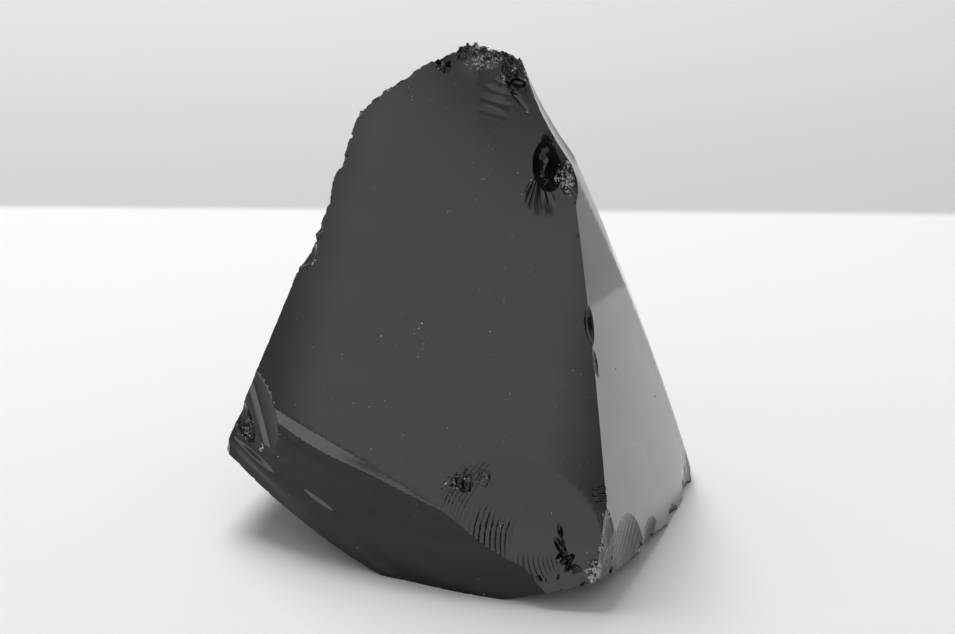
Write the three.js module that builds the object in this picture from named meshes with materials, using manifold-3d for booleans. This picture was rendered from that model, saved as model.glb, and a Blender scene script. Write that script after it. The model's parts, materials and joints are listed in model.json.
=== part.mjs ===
// A hand-sized chunk of obsidian, one solid piece of volcanic glass.
// Millimetres, +Z up. The broad polished-looking face looks along -Y and the stone stands on Z = 0.
//
// The stone is made the way it broke: a rough block loses one broad flake for each of its faces,
// and smaller hollow flakes along its edges. A broad face is a gently bowed sheet through three
// named corners. A flake scar is the bite of a flattened ellipsoid.

import * as THREE from 'three';
import { mergeVertices } from 'three/addons/utils/BufferGeometryUtils.js';
import Module from 'manifold-3d';

const wasm = await Module();
wasm.setup();

// ---- driving dimensions -------------------------------------------------------------------

const BLOCK_LOW = new THREE.Vector3(-75, -50, 0); // the rough block before any flake comes off
const BLOCK_HIGH = new THREE.Vector3(75, 65, 130);
const FOOTPRINT_CENTRE = [1.18, 6.48]; // X and Y of the middle of the finished stone's box

const CUTTER_SPAN = 320; // side of the block that a broad face takes away
const CUTTER_DEPTH = 120;
const CUTTER_CELLS = 32; // grid cells along each side of a broad face's sheet
const SCAR_DETAIL = 5; // subdivisions of the ellipsoid behind a large scar
const CHIP_DETAIL = 3; // and behind a chip of an edge
const CHIP_SIZE = 8; // scars with half-lengths under this are chips
const FLAT = Infinity; // bow radius of a sheet that isn't bowed

// The corners where the broad faces meet.
const CORNER = {
  apexLeft: [2, 18, 120.3],
  apexRight: [14, 13, 117.6],
  apexBack: [10, 26, 114.5],
  topLeft: [-24, 21, 102.7],
  ridgeLeft: [-52, 3.5, 35.5],
  ridgeMiddle: [-5, -25.5, 26.7],
  arrisFoot: [34, -34.5, 21.5],
  arrisTop: [26.7, -2, 91.5],
  shoulder: [29.5, 4.5, 87],
  heelLeft: [-58.5, 5, 19.5],
  heelRight: [59, 28, 5],
  toe: [-5, -29.3, 0],
  toeLeft: [-22, -17, 0],
  toeMiddle: [13.9, -39.2, 2.6],
  toeRight: [34, -39.8, 7.7],
};

// The way the front face looks, low on its right side.
const FRONT_OUT = [-0.16, -0.92, 0.36];

// Broad faces: three points that each passes through, the way it faces, the radius it bulges by
// across and up (a negative radius is a hollow face), and how far from its middle the bow reaches.
const FACES = {
  front: {
    through: [CORNER.ridgeLeft, CORNER.arrisFoot, CORNER.apexLeft],
    facing: [-0.3, -1, 0.3],
    bow: [175, 1200],
    reach: 90,
  },
  frontBand: {
    through: [CORNER.ridgeLeft, CORNER.ridgeMiddle, CORNER.toe],
    facing: [-0.5, -1, 0.1],
    bow: [260, 250],
    reach: 40,
  },
  right: {
    through: [CORNER.arrisFoot, CORNER.arrisTop, CORNER.heelRight],
    facing: [1, -0.3, 0.2],
    bow: [900, 900],
    reach: 70,
  },
  lowerRight: {
    through: [[35.5, -32.5, 19], [48.5, -5, 7], [35, -33.5, 5]],
    facing: [1, -0.6, -0.1],
    bow: [60, 90],
    reach: 20,
  },
  frontBevel: {
    through: [CORNER.toeMiddle, CORNER.toeRight, [40, -14, 0]],
    facing: [0.2, -0.4, -1],
    bow: [90, FLAT],
    reach: 30,
  },
  leftUnderside: {
    through: [CORNER.heelLeft, CORNER.toeLeft, [-14, 45, 0]],
    facing: [-0.4, 0, -1],
    bow: [140, 220],
    reach: 45,
  },
  topLeft: {
    through: [CORNER.apexLeft, CORNER.topLeft, [-10, 27, 107]],
    facing: [-0.5, 0.7, 0.9],
    bow: [FLAT, 160],
    reach: 30,
  },
  top: {
    through: [CORNER.apexLeft, CORNER.apexRight, CORNER.apexBack],
    facing: [0.2, 0.3, 1],
    bow: [FLAT, FLAT],
    reach: 0,
  },
  topRight: {
    through: [CORNER.apexRight, [21.5, 4, 101.5], [15.5, 23, 116]],
    facing: [0.9, -0.1, 0.5],
    bow: [-70, -90],
    reach: 25,
  },
  backLeft: {
    through: [CORNER.topLeft, CORNER.heelLeft, [-38, 38, 30]],
    facing: [-0.85, 0.45, 0.3],
    bow: [230, -450],
    reach: 70,
  },
  backRight: {
    through: [CORNER.shoulder, CORNER.heelRight, [18, 24, 112]],
    facing: [0.9, 0.2, 0.4],
    bow: [260, 900],
    reach: 70,
  },
  back: {
    through: [[-32, 45, 6], [30, 51, 0], CORNER.apexBack],
    facing: [0, 1, 0.3],
    bow: [110, 190],
    reach: 60,
  },
  backCorner: {
    through: [[57, 36, 4], [36, 50, 1], [30, 28, 62]],
    facing: [0.6, 0.75, 0.3],
    bow: [120, 260],
    reach: 50,
  },
};

// Flake scars: the middle of each on the stone, the way it faces, half its length and width, its
// depth, and how far its length is turned from level, in degrees.
const SCARS = {
  frontScar: { at: [10.4, -33.9, 14.7], facing: FRONT_OUT, long: 24.5, wide: 16, deep: 2.2, turn: -14 },
  footFeather: { at: [35, -33.8, 18], facing: [0.75, -0.9, 0.1], long: 6.5, wide: 2.6, deep: 0.8, turn: 84 },
  heelScallopA: { at: [40, -23.5, 9.5], facing: [1, -0.6, 0], long: 9, wide: 8, deep: 1.5, turn: 85 },
  heelScallopB: { at: [46, -10.5, 4.5], facing: [1, -0.45, -0.1], long: 6, wide: 5, deep: 1.3, turn: 75 },
  hollow: { at: [20.4, 0.8, 96.5], facing: [0.25, -1, 0.3], long: 6.6, wide: 3.6, deep: 4.2, turn: 84 },
  hollowTop: { at: [22, 1.6, 99.6], facing: [0.1, -1, 0.5], long: 4, wide: 3, deep: 1.2, turn: 130 },
  hollowSide: { at: [24.8, -0.6, 96], facing: [0.6, -1, 0.2], long: 5.2, wide: 2.4, deep: 1.4, turn: 100 },
  crescentLow: { at: [9.3, 8.7, 107.6], facing: [0.3, -1, 0.55], long: 3.8, wide: 2.8, deep: 0.9, turn: 35 },
  crescentMid: { at: [8.2, 10.2, 109.8], facing: [0.3, -1, 0.55], long: 3.8, wide: 2.9, deep: 1.1, turn: 35 },
  crescentHigh: { at: [7.2, 11.8, 112], facing: [0.3, -1, 0.55], long: 4, wide: 3, deep: 1.3, turn: 35 },
  flake: { at: [5.4, 13.4, 115.4], facing: [-0.05, -1, 0.42], long: 5.4, wide: 3.4, deep: 1, turn: 65 },
  apexRight: { at: [12, 13, 114], facing: [0.5, -1, 0.5], long: 4.6, wide: 2.4, deep: 0.9, turn: 100 },
  cavity: { at: [-4, 17.9, 116], facing: [0.15, -1, 0.75], long: 4.2, wide: 2.2, deep: 2, turn: 50 },
  apexChip: { at: [7, 18, 120.9], facing: [-0.1, 0.3, 1], long: 6, wide: 4, deep: 1.2, turn: 0 },
  leftBite: { at: [-28, 20.5, 94.5], facing: [-1, 0.35, 0.1], long: 5.5, wide: 5, deep: 1.5, turn: 90 },
  leftScallop: { at: [-34, 15, 79], facing: [-1, 0.3, 0.25], long: 13, wide: 7, deep: 1.9, turn: 80 },
  leftStep: { at: [-37.5, 10.5, 69], facing: [-1, 0.2, 0.9], long: 4, wide: 4, deep: 2.4, turn: 60 },
  nickA: { at: [-23.7, 21.2, 103.4], facing: [-1, -0.6, 0.5], long: 1.7, wide: 1.3, deep: 1, turn: 40 },
  nickB: { at: [-29.4, 17.2, 90.4], facing: [-1, -0.2, 0.6], long: 1.6, wide: 1.4, deep: 1.1, turn: 10 },
  nickC: { at: [-32.6, 14.2, 81.3], facing: [-1, -0.6, 0.2], long: 1.7, wide: 1.1, deep: 0.9, turn: 80 },
  nickD: { at: [-34.3, 11.2, 74.6], facing: [-1, -0.8, 0.2], long: 2.4, wide: 1.2, deep: 0.8, turn: 80 },
  notch: { at: [-52.8, 0.9, 27], facing: [-0.9, -0.9, 0.75], long: 7.4, wide: 3.2, deep: 2.4, turn: -50 },
  heelTip: { at: [-58.2, 4.4, 20], facing: [-1, -0.3, 0.1], long: 4, wide: 3, deep: 0.7, turn: 80 },
  heelNotch: { at: [56, 17, 2], facing: [1, -0.5, -0.5], long: 8, wide: 4, deep: 2.2, turn: 10 },
  heelFacet: { at: [60, 27, 9.5], facing: [1, -0.25, -0.1], long: 12, wide: 5.5, deep: 2, turn: 80 },
  arrisChipHigh: { at: [30, -15.3, 63.5], facing: [0.5, -1, 0.1], long: 2.6, wide: 1.3, deep: 0.6, turn: 85 },
  arrisChipLow: { at: [31.8, -19.3, 55.3], facing: [0.5, -1, 0.1], long: 3.4, wide: 1.2, deep: 0.6, turn: 95 },
  backHollow: { at: [-30, 36, 42], facing: [-0.6, 1, 0.4], long: 34, wide: 22, deep: 4, turn: 65 },
  backScar: { at: [10, 45, 34], facing: [0.1, 1, 0.3], long: 30, wide: 19, deep: 2.6, turn: 10 },
  backShell: { at: [36, 36, 40], facing: [0.7, 1, 0.4], long: 26, wide: 15, deep: 3, turn: -60 },
  backTop: { at: [6, 31, 94], facing: [0.1, 1, 0.4], long: 18, wide: 11, deep: 2.2, turn: 80 },
  backFoot: { at: [-10, 51, 3], facing: [-0.1, 1, -0.3], long: 16, wide: 7, deep: 2.4, turn: 5 },
  leftShell: { at: [-45, 20, 52], facing: [-1, 0.55, 0.3], long: 20, wide: 12, deep: 2.2, turn: 80 },
  underside: { at: [12, 12, 0], facing: [0, 0, -1], long: 22, wide: 16, deep: 1.6, turn: 20 },
};

// ---- geometry -----------------------------------------------------------------------------

/** The solid inside a closed three.js geometry. */
function solidOf(geometry) {
  const bare = geometry.clone();
  bare.deleteAttribute('normal');
  bare.deleteAttribute('uv');
  const merged = mergeVertices(bare, 1e-4);
  const vertProperties = new Float32Array(merged.attributes.position.array);
  const triVerts = new Uint32Array(merged.index.array);
  return new wasm.Manifold(new wasm.Mesh({ numProp: 3, vertProperties, triVerts }));
}

/** The closed three.js geometry of a solid, with flat facets. */
function geometryOf(solid) {
  const mesh = solid.getMesh();
  const indexed = new THREE.BufferGeometry();
  indexed.setAttribute('position', new THREE.BufferAttribute(mesh.vertProperties, mesh.numProp));
  indexed.setIndex(new THREE.BufferAttribute(mesh.triVerts, 1));
  const faceted = indexed.toNonIndexed();
  faceted.computeVertexNormals();
  return faceted;
}

/** Axes on a face: across is level, up climbs the face, and out leaves the stone. */
function faceAxes(out) {
  const across = new THREE.Vector3(0, 0, 1).cross(out);
  if (across.length() < 1e-3) across.set(1, 0, 0);
  across.normalize();
  const up = new THREE.Vector3().crossVectors(out, across);
  return { across, up };
}

/** How far a bowed sheet falls behind its tangent plane, level beyond its reach. */
function fallAway(bow, reach, across, up) {
  const a = THREE.MathUtils.clamp(across, -reach, reach);
  const b = THREE.MathUtils.clamp(up, -reach, reach);
  return -(a * a) / (2 * bow[0]) - (b * b) / (2 * bow[1]);
}

/** Everything in front of a bowed sheet through three corners. */
function faceCutter({ through, facing, bow, reach }) {
  const corners = through.map((corner) => new THREE.Vector3(...corner));
  const triangle = new THREE.Triangle(...corners);
  const out = triangle.getNormal(new THREE.Vector3());
  if (out.dot(new THREE.Vector3(...facing)) < 0) out.negate();
  const { across, up } = faceAxes(out);
  const middle = triangle.getMidpoint(new THREE.Vector3());
  const place = new THREE.Matrix4().makeBasis(across, up, out).setPosition(middle);
  const back = place.clone().invert();
  const flat = corners.map((corner) => corner.clone().applyMatrix4(back));
  const falls = flat.map((corner) => fallAway(bow, reach, corner.x, corner.y));
  const sheet = new THREE.Triangle(...flat);

  const cells = bow.every((radius) => radius === FLAT) ? 1 : CUTTER_CELLS;
  const box = new THREE.BoxGeometry(CUTTER_SPAN, CUTTER_SPAN, CUTTER_DEPTH, cells, cells, 1);
  box.translate(0, 0, CUTTER_DEPTH / 2);
  const position = box.attributes.position;
  const point = new THREE.Vector3();
  const share = new THREE.Vector3();
  for (let i = 0; i < position.count; i += 1) {
    point.fromBufferAttribute(position, i);
    if (point.z > CUTTER_DEPTH / 2) continue;
    sheet.getBarycoord(point.setZ(0), share);
    const chord = share.x * falls[0] + share.y * falls[1] + share.z * falls[2];
    position.setZ(i, fallAway(bow, reach, point.x, point.y) - chord);
  }
  box.applyMatrix4(place);
  return solidOf(box);
}

/** The flattened ellipsoid whose bite leaves a flake scar. */
function scarCutter({ at, facing, long, wide, deep, turn }) {
  const out = new THREE.Vector3(...facing).normalize();
  const { across, up } = faceAxes(out);
  const radius = (long * long + deep * deep) / (2 * deep);
  const ball = new THREE.IcosahedronGeometry(1, long < CHIP_SIZE ? CHIP_DETAIL : SCAR_DETAIL);
  ball.scale(radius, (radius * wide) / long, radius);
  ball.rotateZ(THREE.MathUtils.degToRad(turn));
  const middle = new THREE.Vector3(...at).addScaledVector(out, radius - deep);
  ball.applyMatrix4(new THREE.Matrix4().makeBasis(across, up, out).setPosition(middle));
  return solidOf(ball);
}

/** The rough block, with its lower face on the ground. */
function roughBlock() {
  const size = new THREE.Vector3().subVectors(BLOCK_HIGH, BLOCK_LOW);
  const middle = new THREE.Vector3().addVectors(BLOCK_HIGH, BLOCK_LOW).multiplyScalar(0.5);
  const box = new THREE.BoxGeometry(size.x, size.y, size.z);
  box.translate(middle.x, middle.y, middle.z);
  return solidOf(box);
}

/** The finished stone, knapped from the rough block. */
function knap() {
  let stone = roughBlock();
  for (const face of Object.values(FACES)) {
    stone = stone.subtract(faceCutter(face));
  }
  for (const scar of Object.values(SCARS)) {
    stone = stone.subtract(scarCutter(scar));
  }
  const geometry = geometryOf(stone);
  geometry.translate(-FOOTPRINT_CENTRE[0], -FOOTPRINT_CENTRE[1], 0);
  return geometry;
}

// ---- the part -----------------------------------------------------------------------------

const obsidian = new THREE.MeshStandardMaterial({ color: 0x0b0b0d, roughness: 0.08, metalness: 0 });

const chunk = new THREE.Mesh(knap(), obsidian);
chunk.name = 'obsidian_chunk';

const part = new THREE.Group();
part.add(chunk);

export default part;
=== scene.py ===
"""A knapped chunk of black obsidian, standing on a white table top in soft studio light.

The stone is made the way it broke. A rough block loses one broad flake for each of its faces, then
smaller hollow flakes, then a few hundred chips along the arrises where broad faces meet. Each flake
is a closed cutter whose inner side carries the relief of its fracture: ripples, swells and hackles.

Stone sizes are millimetres in the knapping frame, whose ground is Z = 0. Meshes are metres.
"""

import itertools
import json
import logging
import math
from dataclasses import dataclass, field
from enum import Enum

import bmesh
import bpy
import numpy as np
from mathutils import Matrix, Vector

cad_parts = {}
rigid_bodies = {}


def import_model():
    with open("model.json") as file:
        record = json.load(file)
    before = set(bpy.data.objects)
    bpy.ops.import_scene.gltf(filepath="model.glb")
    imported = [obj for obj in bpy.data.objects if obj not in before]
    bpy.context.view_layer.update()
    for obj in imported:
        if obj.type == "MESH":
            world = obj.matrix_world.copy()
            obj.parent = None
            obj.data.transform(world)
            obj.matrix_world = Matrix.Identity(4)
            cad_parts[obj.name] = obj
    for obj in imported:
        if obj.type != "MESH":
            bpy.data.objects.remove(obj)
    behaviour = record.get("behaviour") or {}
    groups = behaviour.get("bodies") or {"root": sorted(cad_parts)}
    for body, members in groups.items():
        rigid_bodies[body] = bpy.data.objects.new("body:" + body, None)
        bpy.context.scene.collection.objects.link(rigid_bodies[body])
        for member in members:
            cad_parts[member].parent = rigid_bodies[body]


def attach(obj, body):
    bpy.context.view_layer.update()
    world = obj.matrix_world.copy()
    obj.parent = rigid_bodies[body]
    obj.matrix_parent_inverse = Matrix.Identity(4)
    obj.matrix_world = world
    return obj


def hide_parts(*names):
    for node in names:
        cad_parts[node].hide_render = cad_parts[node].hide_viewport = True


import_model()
LOG = logging.getLogger("obsidian")

MM = 0.001
FOOTPRINT_CENTRE = (1.18, 6.48, 0.0)  # the model's origin, in the knapping frame
STONE_NODE = "obsidian_chunk"
BODY = "root"
FLAT = 1e12  # bow radius of a sheet that isn't bowed
HALF_TURN = 3.1  # radians either way, for things that lie at any angle
HASH_STEPS = (73856093, 19349663, 83492791)  # large numbers that scatter lattice corners over a table
SMALL_BIAS = 2.2  # the higher, the commoner the small sizes

Point = tuple[float, float, float]
Colour = tuple[float, float, float, float]


# ---- vectors and noise -----------------------------------------------------------------------


def unit(vector: np.ndarray | Point) -> np.ndarray:
    """The vector at length one."""
    array = np.asarray(vector, float)
    return array / np.linalg.norm(array)


def smooth(low: float, high: float, value: np.ndarray) -> np.ndarray:
    """A smooth step from 0 at low to 1 at high; high may be the smaller."""
    share = np.clip((value - low) / (high - low), 0.0, 1.0)
    return share * share * (3.0 - 2.0 * share)


def face_axes(out: np.ndarray) -> tuple[np.ndarray, np.ndarray]:
    """Axes on a face.

    Args:
        out: the unit direction that leaves the stone.

    Returns:
        The level direction across the face, and the direction that climbs it.
    """
    across = np.cross((0.0, 0.0, 1.0), out)
    if np.linalg.norm(across) < 1e-3:
        across = np.array((1.0, 0.0, 0.0))
    across = unit(across)
    return across, np.cross(out, across)


@dataclass
class Grain:
    """Seeded smooth noise over space, between about -1 and 1."""

    seed: int
    cells: int = 4096

    def __post_init__(self) -> None:
        """Draws the lattice values."""
        self.values = np.random.default_rng(self.seed).uniform(-1.0, 1.0, self.cells)

    def at(self, places: np.ndarray) -> np.ndarray:
        """Noise at each place.

        Args:
            places: N points, measured in lattice cells.

        Returns:
            N values.
        """
        cell = np.floor(places).astype(np.int64)
        share = places - cell
        share = share * share * (3.0 - 2.0 * share)
        total = np.zeros(len(places))
        for corner in itertools.product((0, 1), repeat=3):
            key = cell + corner
            mixed = key[:, 0] * HASH_STEPS[0] ^ key[:, 1] * HASH_STEPS[1] ^ key[:, 2] * HASH_STEPS[2]
            weight = np.prod(np.where(corner, share, 1.0 - share), axis=1)
            total += self.values[mixed % self.cells] * weight
        return total


# ---- the relief of a fracture ----------------------------------------------------------------


@dataclass
class Swell:
    """Long soft undulations that run one way."""

    along: Point
    across: Point
    long: float
    wide: float
    height: float
    seed: int
    fan_from: Point | None = None
    fan_reach: float = 60.0
    fan_narrow: float = 0.35
    fan_wide: float = 3.0
    finer: float = 2.1
    finer_shift: float = 7.3
    finer_share: float = 0.35

    def lift(self, places: np.ndarray) -> np.ndarray:
        """How far each place stands out, in mm.

        Args:
            places: N points on the sheet.

        Returns:
            N heights.
        """
        origin = np.asarray(self.fan_from or (0.0, 0.0, 0.0))
        offset = places - origin
        run = offset @ unit(self.along)
        side = offset @ unit(self.across)
        if self.fan_from is not None:
            side = side / np.clip(self.fan_narrow + run / self.fan_reach, self.fan_narrow, self.fan_wide)
        grid = np.stack([run / self.long, side / self.wide, np.full_like(run, self.seed)], 1)
        coarse = Grain(self.seed).at(grid)
        finer = Grain(self.seed + 1).at(grid * self.finer + self.finer_shift)
        return self.height * (coarse + self.finer_share * finer)


@dataclass
class Ripples:
    """Conchoidal ripples round the point where the blow landed."""

    centre: Point
    spacing: float
    height: float
    inner: float
    outer: float
    toward: Point = (0.0, 0.0, 1.0)
    spread: float = 180.0
    wobble: float = 0.5
    growth: float = 0.0
    seed: int = 1
    wobble_cell: float = 9.0
    patch_cell: float = 5.0
    crest: float = 0.75
    soft_edge: float = 25.0

    def lift(self, places: np.ndarray) -> np.ndarray:
        """How far each place stands out, in mm.

        Args:
            places: N points on the sheet.

        Returns:
            N heights.
        """
        offset = places - np.asarray(self.centre)
        radius = np.linalg.norm(offset, axis=1) + 1e-6
        warp = self.wobble * Grain(self.seed).at(places / self.wobble_cell)
        turns = radius / self.spacing / (1.0 + self.growth * radius / self.outer) + warp
        phase = 2.0 * math.pi * turns
        wave = np.sin(phase + self.crest * np.sin(phase))
        fade = smooth(self.inner, self.inner + 2.0 * self.spacing, radius)
        fade = fade * smooth(self.outer, self.outer - 4.0 * self.spacing, radius)
        toward = (offset @ unit(self.toward)) / radius
        limit = math.cos(math.radians(self.spread))
        soft = math.cos(math.radians(max(self.spread - self.soft_edge, 0.0)))
        if self.spread < 180.0:
            fade = fade * smooth(limit, soft, toward)
        patch = 0.6 + 0.7 * Grain(self.seed + 5).at(places / self.patch_cell)
        return self.height * wave * fade * np.clip(patch, 0.15, 1.4)


@dataclass
class Hackles:
    """Fine ridges that run out from a point like the ribs of a shell."""

    centre: Point
    normal: Point
    ribs: int
    height: float
    inner: float
    outer: float
    seed: int = 1
    knot: float = 6.0  # how far a rib runs before it changes

    def lift(self, places: np.ndarray) -> np.ndarray:
        """How far each place stands out, in mm.

        Args:
            places: N points on the sheet.

        Returns:
            N heights.
        """
        across, up = face_axes(unit(self.normal))
        offset = places - np.asarray(self.centre)
        x, y = offset @ across, offset @ up
        radius = np.hypot(x, y) + 1e-6
        angle = np.arctan2(y, x) / (2.0 * math.pi) * self.ribs
        grid = np.stack([angle, radius / self.knot, np.full_like(x, self.seed)], 1)
        fade = smooth(self.inner, self.inner * 1.6 + 0.5, radius)
        fade = fade * smooth(self.outer, self.outer * 0.6, radius)
        return self.height * Grain(self.seed).at(grid) * fade


@dataclass
class Rough:
    """The broken-up surface of a crushed spot."""

    centre: Point
    radius: float
    height: float
    grain: float
    seed: int
    terraces: float = 2.5
    fine: float = 0.4

    def lift(self, places: np.ndarray) -> np.ndarray:
        """How far each place stands out, in mm.

        Args:
            places: N points on the sheet.

        Returns:
            N heights.
        """
        distance = np.linalg.norm(places - np.asarray(self.centre), axis=1)
        fade = smooth(self.radius, self.radius * 0.6, distance)
        steps = Grain(self.seed).at(places / self.grain)
        fine = Grain(self.seed + 3).at(places / (self.grain * self.fine))
        return self.height * (np.round(steps * self.terraces) / self.terraces + self.fine * fine) * fade


Relief = Swell | Ripples | Hackles | Rough


# ---- cutters ---------------------------------------------------------------------------------


class Skin(Enum):
    """What a flake leaves behind."""

    CLEAR = 0
    BANDED = 1
    SIDE = 2
    RIPPLED = 3
    CRUSHED = 4


def grid_lines(stretches: list[tuple[float, float, float]]) -> np.ndarray:
    """Grid lines over overlapping stretches, as close together as the finest stretch asks.

    Args:
        stretches: the start, end and spacing of each.

    Returns:
        The lines, in order.
    """
    breaks = sorted({end for low, high, _ in stretches for end in (low, high)})
    lines = []
    for low, high in itertools.pairwise(breaks):
        middle = 0.5 * (low + high)
        cell = min(cell for start, end, cell in stretches if start <= middle <= end)
        lines.append(np.linspace(low, high, max(1, round((high - low) / cell)) + 1)[:-1])
    return np.append(np.concatenate(lines), breaks[-1])


def slab_mesh(name: str, floor: np.ndarray, lid: np.ndarray) -> bpy.types.Mesh:
    """A closed slab between a grid of points and a flat lid.

    Args:
        name: the mesh's name.
        floor: rows x columns x 3 points, in metres, of the side that meets the stone.
        lid: the same-sized grid, of which only the rim is used.

    Returns:
        The mesh, faces out.
    """
    rows, columns = floor.shape[:2]
    index = np.arange(rows * columns).reshape(rows, columns)
    rim = np.concatenate([index[0, :-1], index[:-1, -1], index[-1, :0:-1], index[:0:-1, 0]])
    vertices = np.concatenate([floor.reshape(-1, 3), lid.reshape(-1, 3)[rim]])
    quads = np.stack([index[:-1, :-1], index[1:, :-1], index[1:, 1:], index[:-1, 1:]], -1)
    top = rows * columns + np.arange(len(rim))
    following = np.roll(np.arange(len(rim)), -1)
    walls = np.stack([rim, rim[following], top[following], top], -1)
    faces = [*quads.reshape(-1, 4).tolist(), *walls.tolist(), top.tolist()]
    mesh = bpy.data.meshes.new(name)
    mesh.from_pydata(vertices.tolist(), [], faces)
    return mesh


def to_metres(places: np.ndarray) -> np.ndarray:
    """Knapping-frame millimetres as the model's metres."""
    return (places - np.asarray(FOOTPRINT_CENTRE)) * MM


@dataclass
class BroadFace:
    """A broad fracture face: everything in front of a bowed sheet through three corners."""

    through: tuple[Point, Point, Point]
    facing: Point
    bow: tuple[float, float]
    reach: float
    reliefs: tuple[Relief, ...] = ()
    skin: Skin = Skin.CLEAR
    cell: float = 1.5
    fine_at: Point | None = None
    fine_reach: tuple[float, float] = (0.0, 0.0)
    fine_cell: float = 0.3
    coarse: float = 15.0
    far: float = 165.0
    depth: float = 130.0

    def fall(self, across: np.ndarray, up: np.ndarray) -> np.ndarray:
        """How far the bow falls behind its tangent plane, level beyond its reach."""
        a = np.clip(across, -self.reach, self.reach)
        b = np.clip(up, -self.reach, self.reach)
        return -a * a / (2.0 * self.bow[0]) - b * b / (2.0 * self.bow[1])

    def build(self, name: str) -> bpy.types.Mesh:
        """Builds the cutter.

        Args:
            name: the mesh's name.

        Returns:
            A closed mesh in metres.
        """
        corners = np.asarray(self.through, float)
        out = unit(np.cross(corners[1] - corners[0], corners[2] - corners[0]))
        if out @ np.asarray(self.facing) < 0:
            out = -out
        across, up = face_axes(out)
        middle = corners.mean(0)
        flat = np.stack([(corners - middle) @ across, (corners - middle) @ up, np.ones(3)], 1)
        falls = self.fall(flat[:, 0], flat[:, 1])
        chord = np.linalg.solve(flat, falls)

        offset = np.asarray(self.fine_at or middle) - middle
        lines = []
        for centre, fine in zip((offset @ across, offset @ up), self.fine_reach):
            stretches = [(-self.far, self.far, self.coarse), (-self.reach, self.reach, self.cell)]
            if self.fine_at is not None:
                stretches.append((centre - fine, centre + fine, self.fine_cell))
            lines.append(grid_lines(stretches))
        grid_v, grid_u = np.meshgrid(lines[1], lines[0], indexing="ij")
        height = self.fall(grid_u, grid_v) - chord[0] * grid_u - chord[1] * grid_v - chord[2]
        base = middle + grid_u[..., None] * across + grid_v[..., None] * up
        sheet = base + height[..., None] * out
        lift = np.zeros(sheet.shape[0] * sheet.shape[1])
        for relief in self.reliefs:
            lift += relief.lift(sheet.reshape(-1, 3))
        sheet = sheet + lift.reshape(height.shape)[..., None] * out
        lid = base + self.depth * out
        return slab_mesh(name, to_metres(sheet), to_metres(lid))


@dataclass
class Scar:
    """A hollow flake scar: the bite of a bowl that a lid closes above the stone."""

    at: Point
    facing: Point
    long: float
    wide: float
    deep: float
    turn: float = 0.0
    reliefs: tuple[Relief, ...] = ()
    skin: Skin = Skin.CLEAR
    cell: float = 0.8
    lid: float = 7.0
    lid_gap: float = 0.01
    relief_below: float = 0.9  # the share of the lid's height above which the bowl is smooth
    least_lines: int = 5

    def build(self, name: str) -> bpy.types.Mesh:
        """Builds the cutter.

        Args:
            name: the mesh's name.

        Returns:
            A closed mesh in metres.
        """
        out = unit(self.facing)
        level, climb = face_axes(out)
        angle = math.radians(self.turn)
        along = math.cos(angle) * level + math.sin(angle) * climb
        beside = np.cross(out, along)
        grow = math.sqrt(1.0 + self.lid / self.deep)
        half_u, half_v = self.long * grow, self.wide * grow
        us = np.linspace(-half_u, half_u, max(self.least_lines, round(2 * half_u / self.cell) + 1))
        vs = np.linspace(-half_v, half_v, max(self.least_lines, round(2 * half_v / self.cell) + 1))
        grid_v, grid_u = np.meshgrid(vs, us, indexing="ij")
        bowl = (grid_u / self.long) ** 2 + (grid_v / self.wide) ** 2 - 1.0
        height = np.minimum(self.deep * bowl, self.lid - self.lid_gap)
        base = np.asarray(self.at) + grid_u[..., None] * along + grid_v[..., None] * beside
        floor = base + height[..., None] * out
        lift = np.zeros(floor.shape[0] * floor.shape[1])
        for relief in self.reliefs:
            lift += relief.lift(floor.reshape(-1, 3))
        lift = np.where(height.reshape(-1) < self.lid * self.relief_below, lift, 0.0)
        floor = floor + lift.reshape(height.shape)[..., None] * out
        lid = base + self.lid * out
        return slab_mesh(name, to_metres(floor), to_metres(lid))


# ---- node wiring -----------------------------------------------------------------------------


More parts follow.
